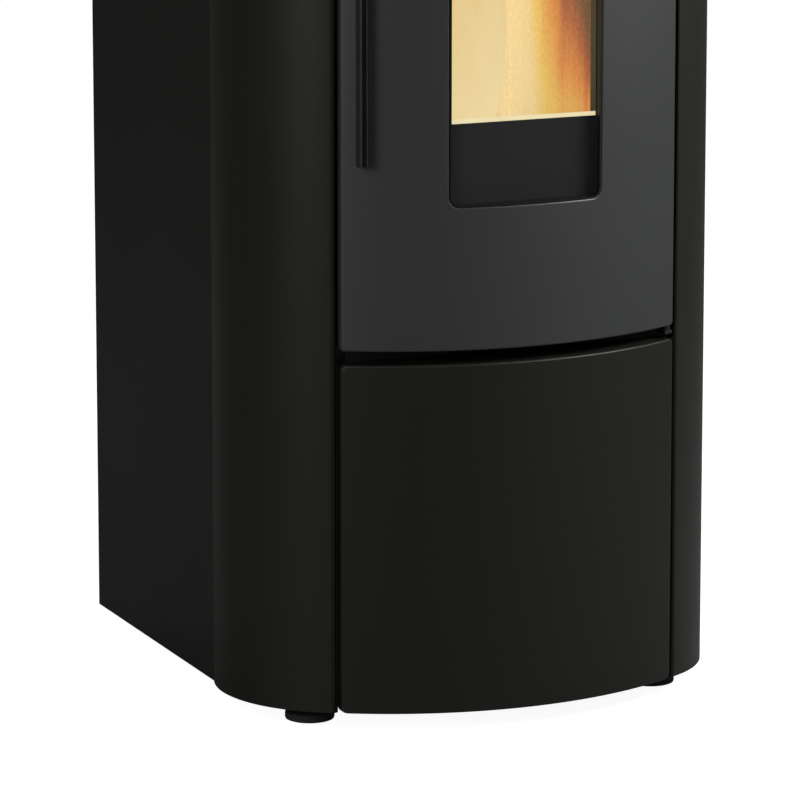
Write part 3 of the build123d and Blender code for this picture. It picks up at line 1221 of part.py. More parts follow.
def room_fan_impeller():
    """Long drum of blades between end discs, on its shaft."""
    x0 = ROOM_FAN_LEFT + 2 * FAN_SHEET
    x1 = ROOM_FAN_LEFT + ROOM_FAN_LENGTH - 2 * FAN_SHEET
    disc = FAN_SHEET
    drum = drum_x(x0, x0 + disc, ROOM_FAN_Y, ROOM_FAN_HEIGHT, ROOM_FAN_ROTOR)
    drum += drum_x(x1 - disc, x1, ROOM_FAN_Y, ROOM_FAN_HEIGHT, ROOM_FAN_ROTOR)
    drum += rod_x(ROOM_FAN_LEFT - disc, x1 + ROOM_MOTOR_LENGTH / 2, ROOM_FAN_Y, ROOM_FAN_HEIGHT,
                  SCREW_SHAFT / 2)
    depth = ROOM_FAN_ROTOR / 4
    for i in range(ROOM_FAN_BLADES):
        blade = Pos((x0 + x1) / 2, ROOM_FAN_ROTOR - depth / 2, 0) * Rot(BLADE_TURN, 0, 0)
        blade = blade * Box(x1 - x0, depth, ROOM_FAN_BLADE)
        turn = Pos(0, ROOM_FAN_Y, ROOM_FAN_HEIGHT) * Rot(360 / ROOM_FAN_BLADES * i, 0, 0)
        drum += turn * blade
    return drum


def room_fan_motor():
    """Motor at the end of the room air fan."""
    x0 = ROOM_FAN_LEFT + ROOM_FAN_LENGTH
    motor = drum_x(x0, x0 + ROOM_MOTOR_LENGTH, ROOM_FAN_Y, ROOM_FAN_HEIGHT, ROOM_MOTOR_RADIUS)
    return motor - rod_x(x0 - 1, x0 + ROOM_MOTOR_LENGTH / 2, ROOM_FAN_Y, ROOM_FAN_HEIGHT,
                         SCREW_SHAFT / 2 + RUNNING_FIT)


# ---------------------------------------------------------------- controls
def control_board():
    """Circuit board on standoffs inside the right side panel."""
    wall_x = SIDE_X - SHEET
    x1 = wall_x - STANDOFF
    y0 = BOARD_Y
    board = block(x1 - BOARD_THICKNESS, x1, y0, y0 + BOARD_LENGTH, BOARD_HEIGHT,
                  BOARD_HEIGHT + BOARD_TALL)
    inset = BOARD_MARGIN
    for y in (y0 + inset, y0 + BOARD_LENGTH - inset):
        for z in (BOARD_HEIGHT + inset, BOARD_HEIGHT + BOARD_TALL - inset):
            board += drum_x(x1, wall_x, y, z, inset / 2, 6)
    chip = block(x1 - STANDOFF, x1, y0 + 3 * inset, y0 + 6 * inset, BOARD_HEIGHT + 3 * inset,
                 BOARD_HEIGHT + 6 * inset)
    relay = block(x1 - 2 * STANDOFF, x1, y0 + 9 * inset, y0 + 13 * inset,
                  BOARD_HEIGHT + 3 * inset, BOARD_HEIGHT + 8 * inset)
    return board + chip + relay


def button_places():
    """Centres of the three keys along the display."""
    start = DISPLAY_Y - DISPLAY_LENGTH / 2 + BUTTON_PITCH
    return [start + BUTTON_PITCH * i for i in range(3)]


def display_panel():
    """Display housing with a thin lip on the cover and wells for the keys."""
    body = display_block(-PLAY, HEIGHT - DISPLAY_THICKNESS * 3, HEIGHT)
    body += display_block(DISPLAY_LIP, HEIGHT, HEIGHT + SHEET)
    for y in button_places():
        body -= rod_z(DISPLAY_X, y, HEIGHT - DISPLAY_THICKNESS * 2, HEIGHT + 2 * SHEET,
                      BUTTON_RADIUS + PLAY)
    return body


def button(y):
    """Round key standing in its well."""
    key = rod_z(DISPLAY_X, y, HEIGHT - DISPLAY_THICKNESS, HEIGHT + SHEET + BUTTON_PROUD,
                BUTTON_RADIUS)
    low = HEIGHT - 2 * DISPLAY_THICKNESS + BUTTON_TRAVEL
    return key + drum_z(DISPLAY_X, y, low, HEIGHT - DISPLAY_THICKNESS, BUTTON_RADIUS / 2, 6)


def power_inlet():
    """Mains inlet with its socket."""
    half_x = INLET_WIDTH / 2
    half_z = INLET_TALL / 2 - 1
    body = block(INLET_X - half_x + PLAY, INLET_X + half_x - PLAY, REAR - INLET_BODY, REAR,
                 INLET_HEIGHT - half_z, INLET_HEIGHT + half_z)
    body += block(INLET_X - half_x - SKIN, INLET_X + half_x + SKIN, REAR, REAR + SHEET,
                  INLET_HEIGHT - half_z - SKIN, INLET_HEIGHT + half_z + SKIN)
    body -= block(INLET_X - half_x + 3 * SKIN, INLET_X + half_x - 3 * SKIN,
                  REAR - INLET_BODY + 2 * SKIN, REAR + 2 * SHEET, INLET_HEIGHT - half_z / 2,
                  INLET_HEIGHT + half_z / 2)
    return body


def main_switch():
    """Rocker of the rear switch on its pivot, tipped towards its off side."""
    half = SWITCH_TALL / 2 - 3 * PLAY
    crest = ROCKER_FACE + half * math.tan(math.radians(SWITCH_TILT))
    profile = Polyline((crest, -half), (ROCKER_FACE, 0), (crest, half), (-half / 2, half / 2),
                       (-half / 2, -half / 2), (crest, -half))
    width = SWITCH_WIDTH - 2 * PLAY
    rocker = extrude(Plane.YZ * make_face(profile), width / 2, both=True)
    rocker += rod_x(-SWITCH_WIDTH / 2 - SHEET, SWITCH_WIDTH / 2 + SHEET, 0, 0, ROCKER_PIN_RADIUS)
    return switch_pivot() * Rot(SWITCH_TILT, 0, 0) * rocker


def switch_pivot():
    """Place of the rocker's axis."""
    return Pos(INLET_X, REAR - SHEET, SWITCH_Z)


def switch_frame():
    """Frame that the rocker turns in."""
    frame = switch_block(2 * SHEET - PLAY, REAR - SWITCH_TALL, REAR)
    frame += switch_block(3 * SHEET, REAR, REAR + SHEET)
    frame -= switch_block(PLAY, REAR - SWITCH_TALL * 0.8, REAR + 2 * SHEET)
    bore = rod_x(-SWITCH_WIDTH, SWITCH_WIDTH, 0, 0, ROCKER_PIN_RADIUS + RUNNING_FIT)
    return frame - switch_pivot() * bore


# ---------------------------------------------------------------- all pieces
def main():
    """Build every piece and write it."""
    os.makedirs("parts", exist_ok=True)
    corner = corner_panel()
    side = side_panel()
    pieces = {
        "base_plate": base_plate(),
        "frame_posts": Compound(frame_posts()),
        "top_frame": top_frame(),
        "corner_panel_right": corner,
        "corner_panel_left": mirrored(corner),
        "side_panel_right": side,
        "side_panel_left": mirrored(side),
        "rear_panel": rear_panel(),
        "casing_screws": Compound(casing_screws()),
        "top_cover": top_cover(),
        "lower_panel": lower_panel(),
        "panel_catches": Compound(panel_catches()),
        "door_skin": door_skin(),
        "window_trim": window_trim(),
        "door_glass": door_glass(),
        "glass_gasket": glass_gasket(),
        "door_frame": door_frame(),
        "door_gasket": door_gasket(),
        "hinge_brackets": Compound(hinge_brackets()),
        "handle_bar": handle_bar(),
        "latch_lever": latch_lever(),
        "latch_keeper": latch_keeper(),
        "firebox": firebox(),
        "firebox_stand": Compound(firebox_stand()),
        "fireback": fireback(),
        "side_liners": Compound(side_liners()),
        "baffle_plate": baffle_plate(),
        "brazier_holder": brazier_holder(),
        "brazier": brazier(),
        "igniter": igniter(),
        "ash_drawer": ash_drawer(),
        "hopper": hopper(),
        "lid_seal": lid_seal(),
        "hopper_lid": hopper_lid(),
        "lid_hinges": Compound(lid_hinges()),
        "auger_tube": auger_tube(),
        "auger_screw": auger_screw(),
        "auger_gearmotor": auger_gearmotor(),
        "pellet_chute": pellet_chute(),
        "smoke_duct": smoke_duct(),
        "exhaust_fan_housing": exhaust_fan_housing(),
        "exhaust_impeller": exhaust_impeller(),
        "exhaust_motor": exhaust_motor(),
        "flue_outlet": flue_outlet(),
        "air_intake": air_intake(),
        "room_fan_housing": room_fan_housing(),
        "room_fan_impeller": room_fan_impeller(),
        "room_fan_motor": room_fan_motor(),
        "control_board": control_board(),
        "display_panel": display_panel(),
        "power_inlet": power_inlet(),
        "main_switch": main_switch(),
        "switch_frame": switch_frame(),
    }
    for name, place in zip(("power_button", "minus_button", "plus_button"), button_places()):
        pieces[name] = button(place)
    for name, (x, y) in FOOT_PLACES.items():
        pieces[name] = foot(x, y)
    for name, shape in pieces.items():
        save(name, shape)


main()
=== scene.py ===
"""Looks of the pellet stove: casing, fire door, fire, controls, rear, floor, lamps and camera.

Metres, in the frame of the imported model: +Z up, the front towards -Y, the floor at z = 0.
"""

import logging
import math
from collections.abc import Sequence
from dataclasses import dataclass, field
from enum import Enum

import bmesh
import bpy
from mathutils import Matrix, Vector

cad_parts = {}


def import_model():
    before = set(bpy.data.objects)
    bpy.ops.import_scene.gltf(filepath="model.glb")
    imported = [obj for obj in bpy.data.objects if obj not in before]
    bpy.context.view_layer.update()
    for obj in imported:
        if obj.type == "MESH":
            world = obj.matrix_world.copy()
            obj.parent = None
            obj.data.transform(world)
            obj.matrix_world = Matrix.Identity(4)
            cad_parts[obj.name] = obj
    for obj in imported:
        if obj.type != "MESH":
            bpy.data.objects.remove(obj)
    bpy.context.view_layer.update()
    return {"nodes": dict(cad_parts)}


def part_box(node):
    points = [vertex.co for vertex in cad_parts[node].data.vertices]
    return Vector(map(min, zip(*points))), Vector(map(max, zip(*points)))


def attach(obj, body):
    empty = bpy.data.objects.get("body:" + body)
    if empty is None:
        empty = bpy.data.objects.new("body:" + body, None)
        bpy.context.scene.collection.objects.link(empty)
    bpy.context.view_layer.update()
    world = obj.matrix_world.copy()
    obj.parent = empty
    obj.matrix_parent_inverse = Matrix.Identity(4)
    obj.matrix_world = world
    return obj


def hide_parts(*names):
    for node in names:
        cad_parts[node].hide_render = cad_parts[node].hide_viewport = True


Colour = tuple[float, float, float]
Place = tuple[float, float, float]
Pair = tuple[float, float]
Stops = Sequence[tuple[float, Colour]]
Span = tuple[float, float, float, float]
Profile = Sequence[Pair]
Socket = bpy.types.NodeSocket
SHARP_FROM = math.radians(38.0)
BEVEL_FROM = math.radians(40.0)
UP = Vector((0.0, 0.0, 1.0))
SOFT_EDGE = 0.0004
OVERLAP = 0.0002
ARC_STEPS = 36
TO_REAR = Matrix.Rotation(-math.pi / 2, 3, "X")
log = logging.getLogger("pellet_stove")


class Body(Enum):
    """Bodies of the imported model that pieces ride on."""

    STOVE = "stove_body"
    DOOR = "fire_door"
    HANDLE = "door_handle"
    PANEL = "service_panel"
    POT = "burn_pot"


class Slot(Enum):
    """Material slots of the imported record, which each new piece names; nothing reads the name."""

    CASING = "casing"
    DOOR = "door_paint"
    CAST = "cast"
    HANDLE = "handle_metal"
    TRIM = "trim"
    SCREW = "screw_steel"
    FOOT = "foot_rubber"
    PLASTIC = "plastic"
    DISPLAY = "display"


class Side(Enum):
    """The two sides of the stove, as the sign of x."""

    LEFT = -1
    RIGHT = 1


def from_screen(*levels: float) -> Colour:
    """Turn screen levels of 0 to 255 into a linear colour."""
    parts = [level / 255 for level in levels]
    return tuple(p / 12.92 if p <= 0.04045 else ((p + 0.055) / 1.055) ** 2.4 for p in parts)


def scaled(colour: Colour, share: float) -> Colour:
    """A colour made lighter or darker."""
    return tuple(c * share for c in colour)


def mixed(colour: Colour, other: Colour, share: float) -> Colour:
    """Blend of two colours."""
    return tuple(a * (1 - share) + b * share for a, b in zip(colour, other))


# ------------------------------------------------------------------ finishes
class NodeSheet:
    """The node tree of one material, with short ways to add to it."""

    def __init__(self, name: str) -> None:
        """Start a material with its shader and nothing else.

        Args:
            name: Name of the material.
        """
        self.material = bpy.data.materials.new(name)
        self.material.use_nodes = True
        self.tree = self.material.node_tree
        self.shader = self.tree.nodes["Principled BSDF"]
        self.place = self.add("ShaderNodeTexCoord").outputs["Object"]

    def add(self, kind: str, values: dict[str, object] | None = None,
            **settings: object) -> bpy.types.Node:
        """Add a node.

        Args:
            kind: Type of the node.
            values: Values of its sockets.
            **settings: Its properties.

        Returns:
            The node.
        """
        node = self.tree.nodes.new(kind)
        for key, value in settings.items():
            setattr(node, key, value)
        for key, value in (values or {}).items():
            node.inputs[key].default_value = value
        return node

    def pattern(self, kind: str, values: dict[str, object], place: Socket | None = None,
                **settings: object) -> bpy.types.Node:
        """Add a node that reads coordinates.

        Args:
            kind: Type of the node.
            values: Values of its sockets.
            place: Coordinates to read, or the plain ones.
            **settings: Its properties.

        Returns:
            The node.
        """
        node = self.add(kind, values, **settings)
        self.join(place or self.place, node.inputs["Vector"])
        return node

    def join(self, start: Socket, end: Socket) -> None:
        """Link two sockets."""
        self.tree.links.new(start, end)

    def feed(self, socket: str, value: Socket) -> None:
        """Link a value to one of the shader's sockets."""
        self.join(value, self.shader.inputs[socket])

    def stretched(self, scale: Place) -> Socket:
        """Object coordinates, scaled along each axis."""
        return self.pattern("ShaderNodeMapping", {"Scale": scale}).outputs["Vector"]

    def noise(self, scale: float, detail: float = 2.0, place: Socket | None = None,
              roughness: float = 0.5) -> Socket:
        """Noise from 0 to 1, with its cells per metre, octaves, coordinates and roughness."""
        values = {"Scale": scale, "Detail": detail, "Roughness": roughness}
        return self.pattern("ShaderNodeTexNoise", values, place).outputs["Fac"]

    def ramp(self, value: Socket, stops: Stops) -> Socket:
        """Colours along a value.

        Args:
            value: Value from 0 to 1.
            stops: Places along the value with their linear colours.

        Returns:
            The colour.
        """
        node = self.add("ShaderNodeValToRGB")
        elements = node.color_ramp.elements
        while len(elements) < len(stops):
            elements.new(0.5)
        for element, (position, colour) in zip(elements, stops):
            element.position = position
            element.color = (*colour, 1.0)
        self.join(value, node.inputs["Fac"])
        return node.outputs["Color"]

    def spread(self, value: Socket, low: float, high: float, start: float = 0.3,
               end: float = 0.7) -> Socket:
        """Move a value from one range into another.

        Args:
            value: Value to move.
            low: Result at the start.
            high: Result at the end.
            start: Value that gives low.
            end: Value that gives high.

        Returns:
            The new value.
        """
        node = self.add("ShaderNodeMapRange", {"From Min": start, "From Max": end, "To Min": low,
                                               "To Max": high})
        self.join(value, node.inputs["Value"])
        return node.outputs["Result"]

    def bump(self, height: Socket, strength: float, distance: float) -> None:
        """Raise the surface by a height.

        Args:
            height: Height from 0 to 1.
            strength: Share of the relief that shows.
            distance: Metres between height 0 and 1.
        """
        node = self.add("ShaderNodeBump", {"Strength": strength, "Distance": distance})
        self.join(height, node.inputs["Height"])
        self.feed("Normal", node.outputs["Normal"])

    def along(self, axis: str) -> Socket:
        """One of the object coordinates, in metres."""
        return self.pattern("ShaderNodeSeparateXYZ", {}).outputs[axis]

    def sum(self, first: Socket, second: Socket, operation: str = "ADD") -> Socket:
        """Two values added, or joined by another operation.

        Args:
            first: One value.
            second: The other value.
            operation: How they are joined.

        Returns:
            The new value.
        """
        node = self.add("ShaderNodeMath", operation=operation)
        self.join(first, node.inputs[0])
        self.join(second, node.inputs[1])
        return node.outputs["Value"]

    def set(self, **values: float | tuple) -> None:
        """Set the shader's own sockets, named with underscores for spaces."""
        for key, value in values.items():
            self.shader.inputs[key.replace("_", " ")].default_value = value


@dataclass(frozen=True)
class Finish:
    """A surface finish, made into a material once."""

    name: str

    def material(self) -> bpy.types.Material:
        """The material of this finish, built on first use.

        Returns:
            The material.
        """
        found = bpy.data.materials.get(self.name)
        if found:
            return found
        sheet = NodeSheet(self.name)
        self.dress(sheet)
        return sheet.material

    def dress(self, sheet: NodeSheet) -> None:
        """Build the nodes in a sheet."""
        raise NotImplementedError


@dataclass(frozen=True)
class PowderCoat(Finish):
    """Baked powder paint: fine orange peel, very faint cloudiness, soft gloss."""

    colour: Colour
    roughness: float = 0.45
    specular: float = 0.25
    grain: Pair = (900.0, 1.0)
    strength: float = 0.12
    relief: float = 0.0002
    shades: Pair = (0.98, 1.02)
    cloud: Pair = (6.0, 2.0)
    gloss: Pair = (8.0, 2.0)
    change: Pair = (-0.01, 0.01)

    def dress(self, sheet: NodeSheet) -> None:
        """Build the nodes.

        Args:
            sheet: Material that takes them.
        """
        low, high = (scaled(self.colour, share) for share in self.shades)
        sheet.feed("Base Color", sheet.ramp(sheet.noise(*self.cloud), [(0.3, low), (0.7, high)]))
        low, high = (self.roughness + change for change in self.change)
        sheet.feed("Roughness", sheet.spread(sheet.noise(*self.gloss), low, high))
        sheet.bump(sheet.noise(*self.grain), self.strength, self.relief)
        sheet.set(Specular_IOR_Level=self.specular)


@dataclass(frozen=True)
class SoftMatter(PowderCoat):
    """Rubber, moulded plastic or soft seal: fine grain and even colour."""

    colour: Colour = (0.012, 0.012, 0.012)
    roughness: float = 0.6
    specular: float = 0.35
    grain: Pair = (1500.0, 2.0)
    strength: float = 0.2
    relief: float = 0.0001
    shades: Pair = (0.85, 1.15)
    cloud: Pair = (60.0, 3.0)
    gloss: Pair = (60.0, 3.0)
    change: Pair = (-0.05, 0.05)


@dataclass(frozen=True)
class Enamel(PowderCoat):
    """Smooth fired enamel or polished black plastic."""

    roughness: float = 0.16
    specular: float = 0.3
    grain: Pair = (250.0, 2.0)
    strength: float = 0.03
    relief: float = 0.0001
    shades: Pair = (0.9, 1.0)
    cloud: Pair = (35.0, 4.0)
    gloss: Pair = (35.0, 4.0)
    change: Pair = (0.0, 0.06)


@dataclass(frozen=True)
class SheetSteel(Finish):
    """Rolled or brushed steel with grain along one axis and dull patches."""

    colour: Colour = (0.35, 0.36, 0.37)
    roughness: float = 0.38
    grain: Place = (40.0, 900.0, 900.0)
    metallic: float = 1.0
    dulled: float = 0.72
    relief: float = 0.0001

    def dress(self, sheet: NodeSheet) -> None:
        """Build the nodes.

        Args:
            sheet: Material that takes them.
        """
        grain = sheet.noise(1.0, 3.0, sheet.stretched(self.grain))
        patches = sheet.noise(22.0, 4.0)
        dull = scaled(self.colour, self.dulled)
        sheet.feed("Base Color", sheet.ramp(patches, [(0.35, dull), (0.65, self.colour)]))
        streaks = sheet.spread(grain, self.roughness - 0.08, self.roughness + 0.08)
        sheet.feed("Roughness", sheet.sum(streaks, sheet.spread(patches, -0.03, 0.06)))
        sheet.bump(grain, 0.1, self.relief)
        sheet.set(Metallic=self.metallic)


@dataclass(frozen=True)
class CastMetal(Finish):
    """Sand cast surface: pitted, rough, with soot in its patches."""

    colour: Colour = (0.055, 0.052, 0.05)
    soot: Colour = (0.016, 0.015, 0.014)
    metallic: float = 0.5
    relief: float = 0.0004

    def dress(self, sheet: NodeSheet) -> None:
        """Build the nodes.

        Args:
            sheet: Material that takes them.
        """
        patches = sheet.noise(30.0, 5.0)
        sheet.feed("Base Color", sheet.ramp(patches, [(0.35, self.soot), (0.7, self.colour)]))
        sheet.feed("Roughness", sheet.spread(patches, 0.8, 0.55))
        sheet.bump(sheet.noise(700.0, 4.0), 0.5, self.relief)
        sheet.set(Metallic=self.metallic)


@dataclass(frozen=True)
class WovenRope(Finish):
    """Glass fibre rope or tape: crossing strands, slightly sooty."""

    colour: Colour = (0.30, 0.28, 0.25)
    strands: float = 260.0
    soot: Colour = (0.05, 0.045, 0.04)
    relief: float = 0.0006

    def dress(self, sheet: NodeSheet) -> None:
        """Build the nodes.

        Args:
            sheet: Material that takes them.
        """
        heights = [sheet.pattern("ShaderNodeTexWave", {"Scale": self.strands, "Distortion": 1.5},
                                 wave_type="BANDS", bands_direction=direction).outputs["Fac"]
                   for direction in ("DIAGONAL", "Z")]
        weave = sheet.sum(*heights, "MULTIPLY")
        sooty = mixed(self.colour, self.soot, 0.6)
        sheet.feed("Base Color", sheet.ramp(sheet.noise(18.0, 4.0), [(0.35, sooty),
                                                                     (0.65, self.colour)]))
        sheet.bump(weave, 0.7, self.relief)
        sheet.set(Roughness=0.95, Specular_IOR_Level=0.1)


@dataclass(frozen=True)
class CeramicGlass(Finish):
    """Clear heat proof glass with a faint warm tint."""

    tint: Colour = (1.0, 0.995, 0.985)
    haze: float = 0.01

    def dress(self, sheet: NodeSheet) -> None:
        """Build the nodes.

        Args:
            sheet: Material that takes them.
        """
        sheet.feed("Roughness", sheet.spread(sheet.noise(9.0, 3.0), 0.0, self.haze))
        sheet.set(Base_Color=(*self.tint, 1.0), Transmission_Weight=1.0, IOR=1.45,
                  Specular_IOR_Level=0.2)


@dataclass(frozen=True)
class CircuitBoard(Finish):
    """Green solder mask with copper tracks showing through."""

    mask: Colour = (0.01, 0.09, 0.035)
    other_mask: Colour = (0.012, 0.11, 0.04)
    track: Colour = (0.05, 0.2, 0.07)

    def dress(self, sheet: NodeSheet) -> None:
        """Build the nodes.

        Args:
            sheet: Material that takes them.
        """
        brick = sheet.pattern("ShaderNodeTexBrick", {
            "Scale": 120.0, "Mortar Size": 0.03, "Color1": (*self.mask, 1.0),
            "Color2": (*self.other_mask, 1.0), "Mortar": (*self.track, 1.0)})
        sheet.feed("Base Color", brick.outputs["Color"])
        sheet.feed("Roughness", sheet.spread(sheet.noise(90.0), 0.25, 0.45))


@dataclass(frozen=True)
class FireLitWall(Finish):
    """Fire board or fireback with the flames' light painted on as its glow: cream by the fire,
    brown streaks forwards.
    """

    colours: Stops = (
        (0.0, from_screen(243, 219, 160)), (0.12, from_screen(240, 213, 152)),
        (0.27, from_screen(235, 196, 96)), (0.5, from_screen(222, 134, 52)),
        (0.72, from_screen(160, 62, 26)), (1.0, from_screen(62, 26, 14)))
    board_dark: Colour = (0.25, 0.2, 0.13)
    board_light: Colour = (0.42, 0.35, 0.25)
    back_y: float = -0.06
    front_y: float = -0.235
    low_z: float = 0.63
    high_z: float = 0.80
    lift: Pair = (0.55, 1.35)
    streaks: Place = (22.0, 22.0, 4.0)
    wave: Pair = (0.72, 1.28)
    strength: float = 1.3
    relief: float = 0.0005

    def dress(self, sheet: NodeSheet) -> None:
        """Build the nodes.

        Args:
            sheet: Material that takes them.
        """
        streaks = sheet.noise(1.0, 3.0, sheet.stretched(self.streaks), 0.55)
        forward = sheet.spread(sheet.along("Y"), 0.0, 1.0, self.back_y, self.front_y)
        lift = sheet.spread(sheet.along("Z"), *self.lift, self.low_z, self.high_z)
        wave = sheet.spread(streaks, *self.wave)
        # Painted fire light: the board glows cream at the back and low down, and darker brown
        # towards the front and higher up.
        painted_glow = sheet.sum(sheet.sum(forward, lift, "MULTIPLY"), wave, "MULTIPLY")
        sheet.feed("Emission Color", sheet.ramp(painted_glow, self.colours))
        board = sheet.noise(220.0, 4.0)
        sheet.feed("Base Color", sheet.ramp(board, [(0.3, self.board_dark),
                                                    (0.7, self.board_light)]))
        sheet.bump(board, 0.4, self.relief)
        sheet.set(Roughness=0.9, Specular_IOR_Level=0.1, Emission_Strength=self.strength)


@dataclass(frozen=True)
class Flame(Finish):
    """Burning gas: pale at the root, cream in the body, orange at the tips."""

    low_z: float = 0.62
    high_z: float = 0.96
    licks: Place = (40.0, 40.0, 7.0)
    reach: float = 0.12
    strength: float = 1.6
    colours: Stops = (
        (0.0, from_screen(246, 222, 164)), (0.35, from_screen(240, 213, 152)),
        (0.6, from_screen(238, 200, 118)), (0.85, from_screen(226, 146, 56)),
        (1.0, from_screen(176, 76, 28)))

    def dress(self, sheet: NodeSheet) -> None:
        """Build the nodes.

        Args:
            sheet: Material that takes them.
        """
        rise = sheet.spread(sheet.along("Z"), 0.0, 1.0, self.low_z, self.high_z)
        flicker = sheet.noise(1.0, 4.0, sheet.stretched(self.licks))
        licks = sheet.spread(flicker, -self.reach, self.reach)
        sheet.feed("Emission Color", sheet.ramp(sheet.sum(rise, licks), self.colours))
        sheet.set(Base_Color=(0.02, 0.012, 0.006, 1.0), Roughness=1.0, Specular_IOR_Level=0.0,
                  Emission_Strength=self.strength)


@dataclass(frozen=True)
class Glowing(Finish):
    """A glowing surface in one even colour; it serves the display's own lit segments and the
    painted fire light on the steel strip.
    """

    colour: Colour
    strength: float = 0.95

    def dress(self, sheet: NodeSheet) -> None:
        """Build the nodes.

        Args:
            sheet: Material that takes them.
        """
        sheet.feed("Emission Color", sheet.ramp(sheet.noise(30.0), [
            (0.3, scaled(self.colour, 0.9)), (0.7, self.colour)]))
        sheet.set(Base_Color=(0.03, 0.03, 0.03, 1.0), Roughness=0.4,
                  Emission_Strength=self.strength)


@dataclass(frozen=True)
class Embers(Finish):
    """Burning pellets: glowing cracks between ashen grains."""

    cells: float = 160.0
    colours: Stops = (
        (0.1, from_screen(255, 200, 90)), (0.45, from_screen(225, 95, 28)),
        (0.8, from_screen(60, 20, 10)))

    def dress(self, sheet: NodeSheet) -> None:
        """Build the nodes.

        Args:
            sheet: Material that takes them.
        """
        grain = sheet.pattern("ShaderNodeTexVoronoi", {"Scale": self.cells}).outputs["Distance"]
        sheet.feed("Emission Color", sheet.ramp(grain, self.colours))
        sheet.feed("Base Color", sheet.ramp(grain, [(0.2, (0.05, 0.03, 0.02)),
                                                    (0.8, (0.2, 0.18, 0.16))]))
        sheet.set(Roughness=0.95, Emission_Strength=1.0)


CASING = PowderCoat("casing_powder", from_screen(24, 24, 20))
DOOR_PAINT = PowderCoat("door_satin", from_screen(43, 44, 44), 0.45, 0.5, (1400.0, 1.0), 0.06)
PANEL_PAINT = PowderCoat("panel_powder", from_screen(20, 20, 16), roughness=0.48)
TRIM_PAINT = PowderCoat("trim_satin", from_screen(18, 18, 18), roughness=0.52, specular=0.2)
# The side panels' paint is darker than the corner panels' casing paint: painted shade on the sides.
SHADED_SIDE_PAINT = PowderCoat("side_powder_painted_shade", from_screen(19, 17, 14), specular=0.22)
FRAME_STEEL = SheetSteel("frame_steel", (0.42, 0.43, 0.44))
BLACK_STEEL = SheetSteel("black_steel", (0.035, 0.034, 0.033), 0.55, (300.0, 300.0, 60.0), 0.4)
BRIGHT_STEEL = SheetSteel("bright_steel", (0.6, 0.6, 0.61), 0.25, (60.0, 60.0, 1200.0))
SCREW_STEEL = SheetSteel("screw_black", (0.05, 0.05, 0.052), 0.35, (400.0, 60.0, 400.0), 0.8)
MOTOR_METAL = SheetSteel("motor_shell", (0.3, 0.31, 0.33), 0.42, (90.0, 500.0, 500.0), 0.9)
CAST_IRON = CastMetal("cast_iron")
# The glow of the firebox boards is painted fire light.
FIRE_WALL = FireLitWall("fire_lit_board")
ROPE_SEAL = WovenRope("rope_seal")
TAPE_SEAL = WovenRope("tape_seal", (0.2, 0.19, 0.18), 420.0)
HANDLE_SATIN = Enamel("handle_satin", from_screen(40, 40, 40), 0.34, 0.5)
# Near-black enamel that paints the shade on the handle's front face.
HANDLE_FRONT_SHADE = Enamel("handle_front_painted_shade", from_screen(6, 6, 7), 0.3, 0.15)
BAND_BLACK = Enamel("glass_band_black", from_screen(14, 14, 14), 0.3, 0.05)
# Black for the painted line of shade along the top of the glass band.
SHADE_BLACK = Enamel("glass_band_shade_black", from_screen(2, 2, 2), 0.5, 0.0)
DISPLAY_BLACK = Enamel("display_black", from_screen(14, 14, 16), 0.12, 0.5)
RUBBER = SoftMatter("foot_rubber")
PLASTIC = SoftMatter("moulded_plastic", (0.02, 0.02, 0.021), 0.42, 0.45)
SEAL_FOAM = SoftMatter("lid_seal", (0.05, 0.05, 0.05), 0.8, 0.2, (900.0, 2.0), 0.5)
MARKING = SoftMatter("printed_white", (0.7, 0.7, 0.68), 0.5)
GLASS = CeramicGlass("ceramic_glass")
CIRCUIT = CircuitBoard("circuit_board")
FLAME = Flame("flame")
EMBERS = Embers("embers")
# Painted fire light on the steel strip below the flames; it glows though it is no lamp.
LIT_STEEL = Glowing("lit_steel_edge", from_screen(255, 240, 190), 1.5)
LIT_DIGITS = Glowing("lit_digits", from_screen(255, 176, 70))
BRASS = SheetSteel("contact_brass", (0.72, 0.55, 0.27), 0.3, (500.0, 60.0, 500.0))

NODE_FINISHES: dict[Finish, tuple[str, ...]] = {
    CASING: ("rear_panel", "hopper_lid"),
    TRIM_PAINT: ("window_trim",),
    FRAME_STEEL: ("base_plate", "top_frame", "firebox_stand", "hopper", "auger_tube",
                  "room_fan_housing"),
    BLACK_STEEL: ("door_frame", "latch_keeper", "firebox", "brazier_holder", "ash_drawer",
                  "pellet_chute", "smoke_duct", "exhaust_fan_housing", "flue_outlet",
                  "air_intake", "frame_posts", "hinge_brackets", "lid_hinges", "latch_lever"),
    BRIGHT_STEEL: ("auger_screw", "exhaust_impeller", "igniter"),
    MOTOR_METAL: ("auger_gearmotor", "exhaust_motor", "room_fan_motor", "room_fan_impeller"),
    CAST_IRON: ("brazier",),
    FIRE_WALL: ("fireback", "side_liners", "baffle_plate"),
    ROPE_SEAL: ("door_gasket",),
    TAPE_SEAL: ("glass_gasket",),
    PLASTIC: ("panel_catches", "power_inlet", "main_switch", "switch_frame", "power_button",
              "minus_button", "plus_button"),
    DISPLAY_BLACK: ("display_panel",),
    SEAL_FOAM: ("lid_seal",),
    GLASS: ("door_glass",),
    CIRCUIT: ("control_board",),
}


NODE_BEVELS: dict[float, tuple[str, ...]] = {
    0.0012: ("hopper_lid",),
    0.0010: ("display_panel", "auger_gearmotor", "exhaust_motor", "room_fan_motor"),
    0.0008: ("power_button", "minus_button", "plus_button", "power_inlet", "switch_frame"),
    0.0005: ("main_switch",),
}


